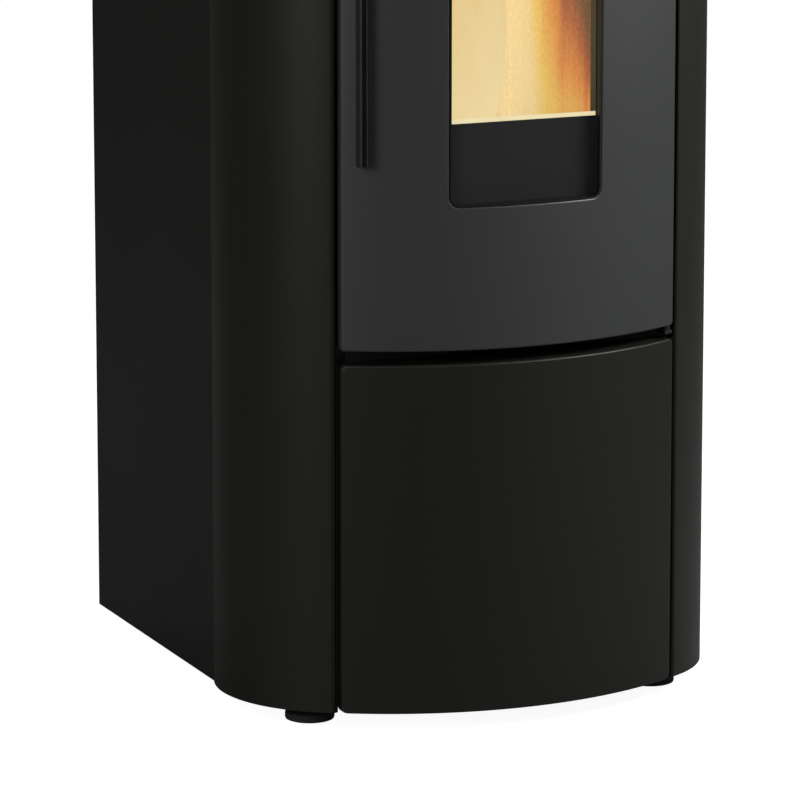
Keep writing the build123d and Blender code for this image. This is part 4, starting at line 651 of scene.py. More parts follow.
# ------------------------------------------------------------------ plan of the stove
@dataclass(frozen=True)
class Plan:
    """The casing seen from above, and its levels."""

    front: float = -0.3185
    rear: float = 0.2735
    floor_gap: float = 0.020
    panel_top: float = 0.388
    door_bottom: float = 0.402
    door_top: float = 1.098
    panels_top: float = 1.112
    height: float = 1.150
    bow_half: float = 0.1874
    bow_depth: float = 0.051
    bow_return: float = 0.010
    corner_radius: float = 0.140
    corner_x: float = 0.130
    corner_depth: float = 0.181
    corner_edge_x: float = 0.192
    seam_depth: float = 0.225
    seam_gap: float = 0.0012
    post_depth: float = 0.070
    side_x: float = 0.262
    skin: float = 0.002
    sheet: float = 0.0015
    fold: float = 0.018

    @property
    def bow_radius(self) -> float:
        """Radius of the bowed front."""
        return (self.bow_half**2 + self.bow_depth**2) / (2 * self.bow_depth)

    @property
    def bow_rear(self) -> float:
        """Rear edge of the bowed panels."""
        return self.front + self.bow_depth + self.bow_return

    @property
    def corner_y(self) -> float:
        """Axis of the corner arcs."""
        return self.front + self.corner_depth

    @property
    def seam_y(self) -> float:
        """Seam between corner and side panels."""
        return self.front + self.seam_depth

    def bow_y(self, x: float) -> float:
        """Depth of the bowed front at x."""
        return self.front + self.bow_radius - math.sqrt(self.bow_radius**2 - x**2)

    def corner_start(self) -> Vector:
        """Front end of the right corner's arc.

        Returns:
            The point, at height 0.
        """
        reach = self.corner_edge_x - self.corner_x
        return Vector((self.corner_edge_x,
                       self.corner_y - math.sqrt(self.corner_radius**2 - reach**2), 0.0))

    def corner_sweep(self) -> float:
        """Angle of the right corner's arc.

        Returns:
            The angle in radians.
        """
        start = self.corner_start() - Vector((self.corner_x, self.corner_y, 0.0))
        rise = self.seam_y - self.corner_y
        return math.asin(rise / self.corner_radius) - math.atan2(start.y, start.x)


PLAN = Plan()


# ------------------------------------------------------------------ mesh building
def verts_in(found: Sequence) -> list:
    """Vertices among the elements that an operation returns."""
    return [element for element in found if isinstance(element, bmesh.types.BMVert)]


def turned_mesh(profile: Profile, steps: int) -> bmesh.types.BMesh:
    """Turn a profile round the upright axis.

    Args:
        profile: Radius and height of each point, from the foot of the axis to its top.
        steps: Steps round the axis.

    Returns:
        The mesh, round the origin.
    """
    part = bmesh.new()
    verts = [part.verts.new((radius, 0.0, height)) for radius, height in profile]
    for pair in zip(verts, verts[1:]):
        part.edges.new(pair)
    bmesh.ops.spin(part, geom=part.verts[:] + part.edges[:], cent=(0.0, 0.0, 0.0), axis=UP,
                   angle=2 * math.pi, steps=steps, use_merge=True)
    bmesh.ops.remove_doubles(part, verts=part.verts[:], dist=1e-6)
    bmesh.ops.recalc_face_normals(part, faces=part.faces[:])
    return part


@dataclass
class SheetShape:
    """A mesh being built, from a flat outline to a finished sheet."""

    bm: bmesh.types.BMesh = field(default_factory=bmesh.new)
    wall: float = 0.0
    near: float = 5e-4

    def arc(self, start: Place, centre: Place, angle: float, steps: int) -> list:
        """Add edges along an arc about an upright axis.

        Args:
            start: First point.
            centre: A point of the axis.
            angle: Sweep of the arc, in radians.
            steps: Number of edges.

        Returns:
            The first and the last vertex.
        """
        first = self.bm.verts.new(start)
        made = bmesh.ops.spin(self.bm, geom=[first], cent=centre, axis=UP, angle=angle,
                              steps=steps)
        return [first, verts_in(made["geom_last"])[0]]

    def loop(self, low: Pair, high: Pair, radius: float,
             segments: int = 5) -> None:
        """Add a rectangle with rounded corners, flat in the XY plane.

        Args:
            low: Lowest corner.
            high: Highest corner.
            radius: Radius of the corners.
            segments: Steps round each corner.
        """
        places = (low, (high[0], low[1]), high, (low[0], high[1]))
        corners = [self.bm.verts.new((x, y, 0.0)) for x, y in places]
        self.bm.faces.new(corners)
        if radius:
            self.bevel(corners, radius, segments, "VERTICES")

    def bevel(self, geometry: list, radius: float, segments: int, affect: str = "EDGES") -> None:
        """Round edges or corners."""
        bmesh.ops.bevel(self.bm, geom=geometry, offset=radius, segments=segments, profile=0.5,
                        affect=affect, material=-1)

    def fill(self) -> None:
        """Turn the loops into one flat sheet with holes, facing up."""
        bmesh.ops.delete(self.bm, geom=self.bm.faces[:], context="FACES_ONLY")
        bmesh.ops.triangle_fill(self.bm, use_beauty=True, use_dissolve=False,
                                edges=self.bm.edges[:], normal=UP)
        self.face_along(UP)

    def face_along(self, direction: Vector) -> None:
        """Turn the faces so that the one furthest along a direction looks that way.

        Args:
            direction: The direction.
        """
        bmesh.ops.recalc_face_normals(self.bm, faces=self.bm.faces[:])
        chosen = max(self.bm.faces, key=lambda f: f.calc_center_median().dot(direction))
        if chosen.normal.dot(direction) < 0:
            bmesh.ops.reverse_faces(self.bm, faces=self.bm.faces[:])

    def round_over(self, radius: float, steps: int = 4) -> None:
        """Round every rim of the flat sheet by insets that rise towards its face.

        Args:
            radius: Radius of the rounding.
            steps: Rings of faces round the rim.
        """
        inner = self.bm.faces[:]
        for step in range(steps):
            start, end = (math.pi / 2 * i / steps for i in (step, step + 1))
            bmesh.ops.inset_region(self.bm, faces=inner, use_even_offset=True, use_boundary=True,
                                   thickness=radius * (math.cos(start) - math.cos(end)),
                                   depth=radius * (math.sin(end) - math.sin(start)))

    def slice_x(self, half: float, count: int) -> None:
        """Cut the mesh into strips along x.

        Args:
            half: Half of the width that is cut.
            count: Number of strips.
        """
        for i in range(1, count):
            geometry = self.bm.verts[:] + self.bm.edges[:] + self.bm.faces[:]
            bmesh.ops.bisect_plane(self.bm, geom=geometry, dist=1e-7, plane_no=(1.0, 0.0, 0.0),
                                   plane_co=(half * (2 * i / count - 1), 0.0, 0.0))

    def outer_edges(self, holes: list[Span]) -> list:
        """Open edges that don't belong to a hole.

        Args:
            holes: Lowest x, highest x, lowest y and highest y of each hole.

        Returns:
            The open edges of the outline.
        """
        def in_hole(place: Vector) -> bool:
            """Whether a place is at a hole's rim or within it."""
            return any(x0 - self.near < place.x < x1 + self.near
                       and y0 - self.near < place.y < y1 + self.near for x0, x1, y0, y1 in holes)

        return [edge for edge in self.bm.edges if edge.is_boundary
                and not in_hole((edge.verts[0].co + edge.verts[1].co) / 2)]

    def extrude(self, edges: list) -> list:
        """Extrude edges in place, and return the new vertices."""
        return verts_in(bmesh.ops.extrude_edge_only(self.bm, edges=edges)["geom"])

    def stand_up(self) -> None:
        """Turn the flat sheet upright, so that its face looks to the front."""
        bmesh.ops.rotate(self.bm, cent=(0.0, 0.0, 0.0), matrix=Matrix.Rotation(math.pi / 2, 3, "X"),
                         verts=self.bm.verts[:])

    def mirror_x(self) -> None:
        """Swap left and right."""
        bmesh.ops.scale(self.bm, vec=(-1.0, 1.0, 1.0), verts=self.bm.verts[:])
        bmesh.ops.reverse_faces(self.bm, faces=self.bm.faces[:])

    def bar(self, low: Place, high: Place, bevel: float = 0.0, segments: int = 2) -> None:
        """Add a block between two corners, with rounded edges.

        Args:
            low: Lowest corner.
            high: Highest corner.
            bevel: Radius of its edges.
            segments: Steps across each rounded edge.
        """
        made = bmesh.ops.create_cube(self.bm, size=1.0)["verts"]
        bmesh.ops.scale(self.bm, vec=[h - l for l, h in zip(low, high)], verts=made)
        bmesh.ops.translate(self.bm, vec=[(l + h) / 2 for l, h in zip(low, high)], verts=made)
        if bevel:
            self.bevel(list({e for v in made for e in v.link_edges}), bevel, segments)

    def turned(self, profile: Profile, place: Place, turn: Matrix | None = None,
               steps: int = 40) -> None:
        """Add a turned shape from its profile.

        Args:
            profile: Radius and height of each point, from the foot of the axis to its top.
            place: Foot of the axis.
            turn: Rotation that brings the upright axis into place.
            steps: Steps round the axis.
        """
        part = turned_mesh(profile, steps)
        matrix = Matrix.Translation(place) @ (turn or Matrix.Identity(3)).to_4x4()
        part.transform(matrix)
        self.take(part)

    def take(self, part: bmesh.types.BMesh) -> None:
        """Add another mesh to this one.

        Args:
            part: The other mesh, which is freed.
        """
        spare = bpy.data.meshes.new("spare")
        part.to_mesh(spare)
        part.free()
        self.bm.from_mesh(spare)
        bpy.data.meshes.remove(spare)


def placed(name: str, data: bpy.types.ID) -> bpy.types.Object:
    """Put a mesh, lamp or camera into the scene.

    Args:
        name: Name of the object.
        data: What it shows.

    Returns:
        The object.
    """
    made = bpy.data.objects.new(name, data)
    bpy.context.scene.collection.objects.link(made)
    return made


@dataclass
class SubAssembly:
    """Pieces that are built together and dressed."""

    body: Body = Body.STOVE

    def show(self, shape: SheetShape, name: str, finish: Finish, slot: Slot,
             replaces: tuple[str, ...] = (), body: Body | None = None,
             weighted: bool = True) -> bpy.types.Object:
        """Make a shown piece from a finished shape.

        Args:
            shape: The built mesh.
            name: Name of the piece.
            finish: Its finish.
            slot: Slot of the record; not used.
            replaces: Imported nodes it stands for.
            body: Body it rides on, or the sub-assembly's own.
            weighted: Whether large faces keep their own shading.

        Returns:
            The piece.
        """
        mesh = bpy.data.meshes.new(name)
        shape.bm.to_mesh(mesh)
        shape.bm.free()
        piece = placed(name, mesh)
        mesh.materials.append(finish.material())
        mesh.shade_smooth()
        mesh.set_sharp_from_angle(angle=SHARP_FROM)
        if shape.wall:
            wall = piece.modifiers.new("sheet_wall", "SOLIDIFY")
            wall.thickness = shape.wall
            wall.offset = -1.0
        if weighted:
            piece.modifiers.new("even_shading", "WEIGHTED_NORMAL").keep_sharp = True
        rider = body or self.body
        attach(piece, rider.value)
        if replaces:
            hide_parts(*replaces)
        log.info("%s: %d faces, rides on %s", name, len(mesh.polygons), rider.value)
        return piece


# ------------------------------------------------------------------ casing
@dataclass
class BowedSheet:
    """A bowed front sheet with rounded rims and folded edges."""

    bottom: float
    top: float
    corner: float
    holes: tuple[tuple[float, ...], ...] = ()
    rim: float = 0.0025
    strips: int = 94
    hole_steps: int = 8

    def build(self) -> SheetShape:
        """Build the sheet.

        Returns:
            The shape, standing in its place.
        """
        shape = SheetShape()
        shape.loop((-PLAN.bow_half, self.bottom), (PLAN.bow_half, self.top), self.corner)
        for x0, x1, z0, z1, radius in self.holes:
            shape.loop((x0, z0), (x1, z1), radius, self.hole_steps)
        shape.fill()
        shape.round_over(self.rim)
        shape.slice_x(PLAN.bow_half, self.strips)
        outline = shape.outer_edges([hole[:4] for hole in self.holes])
        shape.stand_up()
        for vert in shape.bm.verts:
            vert.co.y += PLAN.bow_y(vert.co.x) + self.rim
        for vert in shape.extrude(outline):
            vert.co.y = PLAN.bow_rear
        shape.face_along(Vector((0.0, -1.0, 0.0)))
        shape.wall = PLAN.skin
        return shape


@dataclass
class FoldedWall:
    """An upright sheet that follows a plan path with folds and an arc."""

    bottom: float = PLAN.floor_gap
    top: float = PLAN.panels_top
    fold_radius: float = 0.0015
    fold_steps: int = 4

    def corner(self) -> SheetShape:
        """Right corner panel.

        Returns:
            The shape, standing in its place.
        """
        shape = SheetShape()
        start = PLAN.corner_start()
        ends = shape.arc(start, (PLAN.corner_x, PLAN.corner_y, 0.0), PLAN.corner_sweep(), ARC_STEPS)
        flanges = (Vector((start.x, PLAN.front + PLAN.post_depth, 0.0)),
                   ends[1].co - Vector((PLAN.fold, 0.0, 0.0)))
        for vert, place in zip(ends, flanges):
            shape.bm.edges.new((vert, shape.bm.verts.new(place)))
        return self.raise_path(shape, ends, Vector((1.0, -1.0, 0.0)), PLAN.skin)

    def side(self) -> SheetShape:
        """Right side panel.

        Returns:
            The shape, standing in its place.
        """
        shape = SheetShape()
        start = PLAN.seam_y + PLAN.seam_gap
        places = ((PLAN.side_x - PLAN.fold, start), (PLAN.side_x, start), (PLAN.side_x, PLAN.rear))
        verts = [shape.bm.verts.new((x, y, 0.0)) for x, y in places]
        for pair in zip(verts, verts[1:]):
            shape.bm.edges.new(pair)
        return self.raise_path(shape, [verts[1]], Vector((1.0, 0.0, 0.0)), PLAN.sheet)

    def raise_path(self, shape: SheetShape, folds: list, outwards: Vector,
                   thickness: float) -> SheetShape:
        """Raise a plan path into a wall and round its folds.

        Args:
            shape: Shape that holds the path, at height 0.
            folds: Vertices where the path folds.
            outwards: Direction that the wall's face looks along.
            thickness: Thickness of the sheet.

        Returns:
            The wall.
        """
        places = [vert.co.copy() for vert in folds]
        upper = shape.extrude(shape.bm.edges[:])
        for verts, level in ((shape.bm.verts, self.bottom), (upper, self.top)):
            for vert in verts:
                vert.co.z = level
        edges = [e for e in shape.bm.edges if e.verts[0].co.z != e.verts[1].co.z
                 and any((e.verts[0].co.xy - place.xy).length < 1e-5 for place in places)]
        shape.bevel(edges, self.fold_radius, self.fold_steps)
        shape.face_along(outwards)
        shape.wall = thickness
        return shape


@dataclass
class TopCover:
    """Top of the casing with warm air slots and openings for lid and display."""

    rim: float = 0.002
    slot_half: float = 0.115
    slot_width: float = 0.007
    slot_round: float = 0.00343
    round_steps: int = 6
    slot_pitch: float = 0.014
    slot_count: int = 5
    slot_depth: float = 0.120
    opening_round: float = 0.002
    lid_opening: Span = (-0.1735, 0.1735, 0.013, 0.2375)
    display_opening: Span = (0.191, 0.237, 0.0365, 0.1865)

    def outline(self, shape: SheetShape) -> None:
        """Add the plan of the casing as a closed wire.

        Args:
            shape: Shape that takes the wire.
        """
        bm = shape.bm
        bow = shape.arc((PLAN.bow_half, PLAN.bow_y(PLAN.bow_half), 0.0),
                        (0.0, PLAN.front + PLAN.bow_radius, 0.0),
                        -2 * math.asin(PLAN.bow_half / PLAN.bow_radius), 60)
        start = PLAN.corner_start()
        rears = []
        for side, bow_end in zip((Side.RIGHT, Side.LEFT), bow):
            sign = side.value
            first, seam = shape.arc((sign * start.x, start.y, 0.0),
                                    (sign * PLAN.corner_x, PLAN.corner_y, 0.0),
                                    sign * PLAN.corner_sweep(), ARC_STEPS)
            rears.insert(0, bm.verts.new((sign * PLAN.side_x, PLAN.rear, 0.0)))
            bm.edges.new((bow_end, first))
            bm.edges.new((seam, rears[0]))
        bm.edges.new(rears)

    def slots(self) -> list[Span]:
        """Warm air slots.

        Returns:
            Lowest x, highest x, lowest y and highest y of each slot.
        """
        first = PLAN.front + self.slot_depth - self.slot_pitch * (self.slot_count - 1) / 2
        levels = (first + self.slot_pitch * i for i in range(self.slot_count))
        return [(-self.slot_half, self.slot_half, y - self.slot_width / 2, y + self.slot_width / 2)
                for y in levels]

    def build(self) -> SheetShape:
        """Build the cover.

        Returns:
            The shape, in its place.
        """
        shape = SheetShape()
        openings = [(*self.lid_opening, self.opening_round),
                    (*self.display_opening, self.opening_round),
                    *((*span, self.slot_round) for span in self.slots())]
        for x0, x1, y0, y1, radius in openings:
            shape.loop((x0, y0), (x1, y1), radius, self.round_steps)
        self.outline(shape)
        shape.fill()
        shape.round_over(self.rim)
        for vert in shape.bm.verts:
            vert.co.z += PLAN.height - self.rim
        for vert in shape.extrude(shape.outer_edges([opening[:4] for opening in openings])):
            vert.co.z = PLAN.panels_top
        shape.face_along(UP)
        shape.wall = PLAN.skin
        return shape


@dataclass
class Foot:
    """Levelling foot: rubber sole, steel pad, neck and stud, turned as one shape that takes one
    finish.
    """

    x: float
    y: float
    pad: float = 0.026
    neck: float = 0.012
    stud: float = 0.005
    neck_top: float = 0.0200
    stud_top: float = 0.0565

    def build(self) -> SheetShape:
        """Build the foot from its turned profile.

        Returns:
            The shape, in its place.
        """
        shape = SheetShape()
        profile = [(0.0, 0.0), (self.pad - 0.002, 0.0), (self.pad - 0.0006, 0.0006),
                   (self.pad, 0.002), (self.pad, 0.0066), (self.pad - 0.0007, 0.0082),
                   (self.pad - 0.0024, 0.009), (0.0150, 0.0094), (0.0130, 0.0106),
                   (self.neck, 0.0130), (self.neck, self.neck_top), (self.stud, self.neck_top),
                   (self.stud, self.stud_top), (0.0, self.stud_top)]
        shape.turned(profile, Vector((self.x, self.y, 0.0)), steps=48)
        return shape


@dataclass
class Casing(SubAssembly):
    """Panels, top cover, rear screws and feet that stand round the stove."""

    foot_x: float = 0.196
    foot_rows: tuple[tuple[str, float], ...] = (("front", -0.1995), ("rear", 0.2035))
    screw_rows: int = 4
    screw_head: float = 0.004
    screw_inset: float = 0.00346
    screw_profile: Profile = (
        (0.0, -0.0015), (0.002, -0.0015), (0.002, 0.0), (0.004, 0.0), (0.0039, 0.0008),
        (0.0033, 0.0017), (0.0022, 0.0023), (0.0014, 0.00245), (0.0012, 0.0012), (0.0, 0.0012))

    def build(self) -> None:
        """Build and dress every casing piece."""
        for side in Side:
            word = side.name.lower()
            # The side sheets take the darker paint, which paints the shade on the sides.
            for part, shape, finish in (("corner", FoldedWall().corner(), CASING),
                                        ("side", FoldedWall().side(), SHADED_SIDE_PAINT)):
                if side is Side.LEFT:
                    shape.mirror_x()
                self.show(shape, f"{word}_{part}_sheet", finish, Slot.CASING,
                          (f"{part}_panel_{word}",))
            self.show(self.edge_strip(side), f"{word}_edge_strip", CASING, Slot.CASING)
        self.show(TopCover().build(), "top_cover_sheet", CASING, Slot.CASING, ("top_cover",))
        self.feet()
        self.screws()

    def edge_strip(self, side: Side) -> SheetShape:
        """Flange of the corner panel that closes the gap beside the lower panel.

        Args:
            side: Side of the stove.

        Returns:
            The shape, in its place.
        """
        shape = SheetShape()
        start = PLAN.corner_start()
        ends = sorted(side.value * x for x in (PLAN.bow_half + PLAN.seam_gap, start.x + 0.001))
        shape.bar((ends[0], start.y + PLAN.skin, PLAN.floor_gap),
                  (ends[1], start.y + 2 * PLAN.skin, PLAN.panel_top), SOFT_EDGE)
        return shape

    def feet(self) -> None:
        """Build the four levelling feet."""
        for row, y in self.foot_rows:
            for side in Side:
                word = side.name.lower()
                foot = Foot(side.value * self.foot_x, y).build()
                piece = self.show(foot, f"foot_{row}_{word}_turned", RUBBER, Slot.FOOT)
                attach(piece, f"{row}_{word}_foot")
                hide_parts(f"foot_{row}_{word}")

    def screws(self) -> None:
        """Build the domed rear screws with their sockets."""
        shape = SheetShape()
        low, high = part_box("casing_screws")
        inset = self.screw_inset
        for x in (low.x + self.screw_head, high.x - self.screw_head):
            for row in range(self.screw_rows):
                z = low.z + inset + (high.z - low.z - 2 * inset) * row / (self.screw_rows - 1)
                shape.turned(self.screw_profile, Vector((x, PLAN.rear, z)), TO_REAR, 20)
        self.show(shape, "rear_screws_domed", SCREW_STEEL, Slot.SCREW, ("casing_screws",))


@dataclass
class ServicePanel(SubAssembly):
    """Bowed lower panel with its ears and snap studs."""

    body: Body = Body.PANEL
    corner: float = 0.006
    stud_x: float = 0.1805
    stud_levels: Pair = (0.050, 0.358)
    ear: float = 0.015
    ear_inset: float = 0.001
    stud_radius: float = 0.003
    stud_end: float = -0.2488
    stud_tip: float = 0.001

    def build(self) -> None:
        """Build and dress the panel."""
        sheet = BowedSheet(PLAN.floor_gap, PLAN.panel_top, self.corner).build()
        self.show(sheet, "lower_front_sheet", PANEL_PAINT, Slot.CASING, ("lower_panel",))
        shape = SheetShape()
        rear = PLAN.bow_rear
        reach = PLAN.bow_half - self.ear_inset
        length = self.stud_end - rear
        stud = [(0.0, 0.0), (self.stud_radius, 0.0), (self.stud_radius, length - self.stud_tip),
                (self.stud_radius - self.stud_tip, length), (0.0, length)]
        for side in Side:
            inner, outer = sorted((side.value * reach, side.value * (reach - self.ear)))
            for z in self.stud_levels:
                shape.bar((inner, rear - PLAN.skin, z - self.ear / 2),
                          (outer, rear, z + self.ear / 2), SOFT_EDGE)
                shape.turned(stud, Vector((side.value * self.stud_x, rear, z)), TO_REAR, 20)
        self.show(shape, "lower_panel_studs", PANEL_PAINT, Slot.CASING)


# ------------------------------------------------------------------ door
@dataclass
class FireDoor(SubAssembly):
    """Bowed door skin, black print band with black side strips, a strip of painted fire light and a
    strip of painted shade behind the glass, and blade handle.
    """

    body: Body = Body.DOOR
    corner: float = 0.004
    window: Span = (-0.084, 0.084, 0.551, 0.985)
    window_radius: float = 0.010
    handle_slot: tuple[float, ...] = (-0.1816, -0.1576, 0.778, 0.802, 0.003)
    glass_rear: float = -0.297
    band_top: float = 0.6342
    border_left: float = 0.0034
    border_right: float = 0.0008
    print_depths: Pair = (0.0001, 0.0006)
    shade_depths: Pair = (0.00005, 0.0007)
    shade_height: float = 0.0026
    strip_depths: Pair = (0.0006, 0.0016)
    strip_drop: float = 0.004
    strip_height: float = 0.0044
    blade_edge: float = 0.0016
    blade_inset: float = 0.0002
    face_margins: tuple[float, float, float] = (0.0018, 0.0012, 0.0012)
    face_depth: float = 0.0008

    def build(self) -> None:
        """Build and dress the door."""
        skin = BowedSheet(PLAN.door_bottom, PLAN.door_top, self.corner,
                          ((*self.window, self.window_radius), self.handle_slot)).build()
        self.show(skin, "door_front_sheet", DOOR_PAINT, Slot.DOOR, ("door_skin",))
        left, right, bottom, top = self.window
        start, end = left + self.border_left, right - self.border_right
        level = self.band_top
        # The band across the bottom is black print; the black strips up the sides are wider on the
        # left than on the right.
        self.layer("glass_black_border", BAND_BLACK, self.print_depths, (
            (left, right, bottom, level), (left, start, level - OVERLAP, top),
            (end, right, level - OVERLAP, top)))
        # The strip glows with painted fire light: the lit edge under the flames.
        self.layer("air_wash_strip", LIT_STEEL, self.strip_depths,
                   ((start, end, level - self.strip_drop, level + self.strip_height),), SOFT_EDGE)
        # A near-black strip across the top of the band paints a line of shade there.
        self.layer("glass_band_painted_shade", SHADE_BLACK, self.shade_depths,
                   ((left, right, level - self.shade_height, level + OVERLAP / 2),))
        self.handle()

    def layer(self, name: str, finish: Finish, depths: Pair,
              areas: tuple[Span, ...], bevel: float = 0.0) -> None:
        """Add thin blocks behind the glass.

        Args:
            name: Name of the piece.
            finish: Its finish.
            depths: Front and rear of the blocks, behind the glass.
            areas: Lowest x, highest x, lowest z and highest z of each block.
            bevel: Radius of their edges.
        """
        shape = SheetShape()
        front, rear = (self.glass_rear + depth for depth in depths)
        for x0, x1, z0, z1 in areas:
            shape.bar((x0, front, z0), (x1, rear, z1), bevel)
        self.show(shape, name, finish, Slot.TRIM)

    def handle(self) -> None:
        """Build the slim blade handle, with a black strip of painted shade on its front face."""
        low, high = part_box("handle_bar")
        blade = SheetShape()
        blade.bar((low.x, low.y + self.blade_inset, low.z), tuple(high), self.blade_edge, 4)
        self.show(blade, "handle_blade", HANDLE_SATIN, Slot.HANDLE, ("handle_bar",), Body.HANDLE)
        # The black strip on the front face is painted shade; the blade's own paint is lighter.
        left, right, ends = self.face_margins
        face = SheetShape()
        face.bar((low.x + left, low.y, low.z + ends),
                 (high.x - right, low.y + self.face_depth, high.z - ends), OVERLAP)
        self.show(face, "handle_front_shade_strip", HANDLE_FRONT_SHADE, Slot.HANDLE, (), Body.HANDLE)


# ------------------------------------------------------------------ controls
@dataclass
class Controls(SubAssembly):
    """Display with digits and key symbols, switch marks and the inlet's contacts."""

    face: float = 1.1515
    window: Span = (0.1935, 0.2345, 0.1250, 0.1830)
    pane_rise: float = 0.0004
    digit_rise: float = 0.0006
    sunk: float = 0.0001
    digit_wide: float = 0.0095
    digit_tall: float = 0.0180
    digit_lift: float = 0.004
    stroke: float = 0.0016
    digits: tuple[tuple[str, float], ...] = (("abged", 0.2020), ("bc", 0.2160))
    degree: Pair = (0.2275, 0.0075)
    dashes: tuple[float, ...] = (0.2020, 0.2140, 0.2260)
    dash_half: float = 0.0015
    dash_rows: Pair = (0.006, 0.0072)
    symbol_x: float = 0.2285
    symbol_reach: float = 0.0022
    symbol_line: float = 0.0007
    symbol_half: float = 0.0004
    symbol_rise: float = 0.0002
    key_levels: tuple[tuple[str, float], ...] = (
        ("power", 0.0605), ("minus", 0.0845), ("plus", 0.1085))
    power_bar: Pair = (0.0006, 0.0034)
    rear_face: float = 0.2750
    mark_x: float = 0.2050
    on_mark: Pair = (0.0694, 0.0716)
    on_half: float = 0.0003
    off_mark_z: float = 0.0540
    off_radius: float = 0.0010
    off_line: float = 0.0005
    contact_low: Place = (0.2030, 0.2530, 0.109)
    contact_high: Place = (0.2070, 0.2690, 0.111)
    contact_pitch: float = 0.007

    def build(self) -> None:
        """Build and dress the controls."""
        self.display()
        self.symbols()
        self.rear_marks()
        self.contacts()

    def ring(self, radius: float, line: float, low: float, high: float) -> Profile:
        """Profile of a flat printed ring, from its radius, line width and two heights."""
        inner = radius - line
        return [(inner, low), (radius, low), (radius, high), (inner, high), (inner, low)]

    def display(self) -> None:
        """Build the display's pane with its digits, degree ring and dashes."""
        x0, x1, y0, y1 = self.window
        low, high = self.face + self.pane_rise, self.face + self.digit_rise
        pane = SheetShape()
        pane.bar((x0, y0, self.face - self.sunk), (x1, y1, low), OVERLAP)
        self.show(pane, "display_pane", DISPLAY_BLACK, Slot.DISPLAY)
        shape = SheetShape()
        middle = (y0 + y1) / 2 + self.digit_lift
        for lit, x in self.digits:
            self.digit(shape, lit, x, middle)
        x, lift = self.degree
        ring = self.ring(self.stroke, self.stroke / 2, self.face + self.sunk / 2, high)
        shape.turned(ring, Vector((x, middle + lift, 0.0)), steps=20)
        for x in self.dashes:
            shape.bar((x - self.dash_half, y0 + self.dash_rows[0], low),
                      (x + self.dash_half, y0 + self.dash_rows[1], high))
        self.show(shape, "display_digits", LIT_DIGITS, Slot.DISPLAY)

    def digit(self, shape: SheetShape, lit: str, x: float, y: float) -> None:
        """Add one digit made of seven segments.

        Args:
            shape: Shape that takes the digit.
            lit: Letters of its lit segments.
            x: Middle of the digit.
            y: Middle of the digit.
        """
        half, side, rise = self.stroke / 2, self.digit_wide / 2, self.digit_tall / 2
        bars = {name: (-side + half, side - half, level - half, level + half)
                for name, level in (("a", rise), ("g", 0.0), ("d", -rise))}
        bars |= {name: (place - half, place + half, start + half, start + rise - half)
                 for name, place, start in (("b", side, 0.0), ("c", side, -rise),
                                            ("e", -side, -rise), ("f", -side, 0.0))}
        for name in lit:
            x0, x1, y0, y1 = bars[name]
            shape.bar((x + x0, y + y0, self.face + self.pane_rise),
                      (x + x1, y + y1, self.face + self.digit_rise))

    def symbols(self) -> None:
        """Print a symbol beside each key."""
        shape = SheetShape()
        low, high = self.face - self.sunk, self.face + self.symbol_rise
        x, reach, half = self.symbol_x, self.symbol_reach, self.symbol_half
        for name, y in self.key_levels:
            if name == "power":
                shape.turned(self.ring(reach, self.symbol_line, low, high), Vector((x, y, 0.0)),
                             steps=28)
                start, end = self.power_bar
                shape.bar((x - half, y + start, low), (x + half, y + end, high + self.sunk))
            else:
                shape.bar((x - reach, y - half, low), (x + reach, y + half, high))
            if name == "plus":
                shape.bar((x - half, y - reach, low), (x + half, y + reach, high + self.sunk))
        self.show(shape, "key_symbols", MARKING, Slot.DISPLAY)

    def rear_marks(self) -> None:
        """Print the on and off marks on the switch's frame."""
        shape = SheetShape()
        x, start = self.mark_x, self.rear_face - self.sunk
        shape.bar((x - self.on_half, start, self.on_mark[0]),
                  (x + self.on_half, self.rear_face + self.symbol_rise, self.on_mark[1]))
        shape.turned(self.ring(self.off_radius, self.off_line, 0.0, self.symbol_rise),
                     Vector((x, start, self.off_mark_z)), TO_REAR, 20)
        self.show(shape, "switch_marks", MARKING, Slot.PLASTIC)

    def contacts(self) -> None:
        """Build the three flat contacts inside the mains inlet."""
        shape = SheetShape()
        for step in (-1, 0, 1):
            rise = Vector((0.0, 0.0, step * self.contact_pitch))
            shape.bar(Vector(self.contact_low) + rise, Vector(self.contact_high) + rise, SOFT_EDGE)
        self.show(shape, "inlet_contacts", BRASS, Slot.SCREW)


# ------------------------------------------------------------------ fire
@dataclass
class FlameTongue:
    """One tongue of flame: a turned shape, bent and twisted as it rises."""

    x: float
    y: float
    width: float
    top: float
    lean: float
    phase: float
    bottom: float = 0.597
    rings: int = 26
    steps: int = 20
    flatness: float = 0.55
    sway_x: float = 0.010
    sway_y: float = 0.006

    def radius(self, t: float) -> float:
        """Radius at a share of the height."""
        return max(self.width * (math.sin(math.pi * t**0.62)) ** 0.9 * (1.0 - 0.35 * t), 0.0)

    def build(self, shape: SheetShape) -> None:
        """Add the tongue to a shape.

        Args:
            shape: Shape that takes the tongue.
        """
        tall = self.top - self.bottom
        shares = [i / self.rings for i in range(1, self.rings)]
        profile = [(0.0, self.bottom), *((self.radius(t), self.bottom + tall * t) for t in shares),
                   (0.0, self.top)]
        part = turned_mesh(profile, self.steps)
        for vert in part.verts:
            t = (vert.co.z - self.bottom) / tall
            vert.co.y *= self.flatness
            vert.co.x += (self.x + self.lean * t**1.6
                          + self.sway_x * math.sin(self.phase + 5.2 * t) * t)
            vert.co.y += self.y + self.sway_y * math.cos(self.phase + 4.1 * t) * t
        shape.take(part)


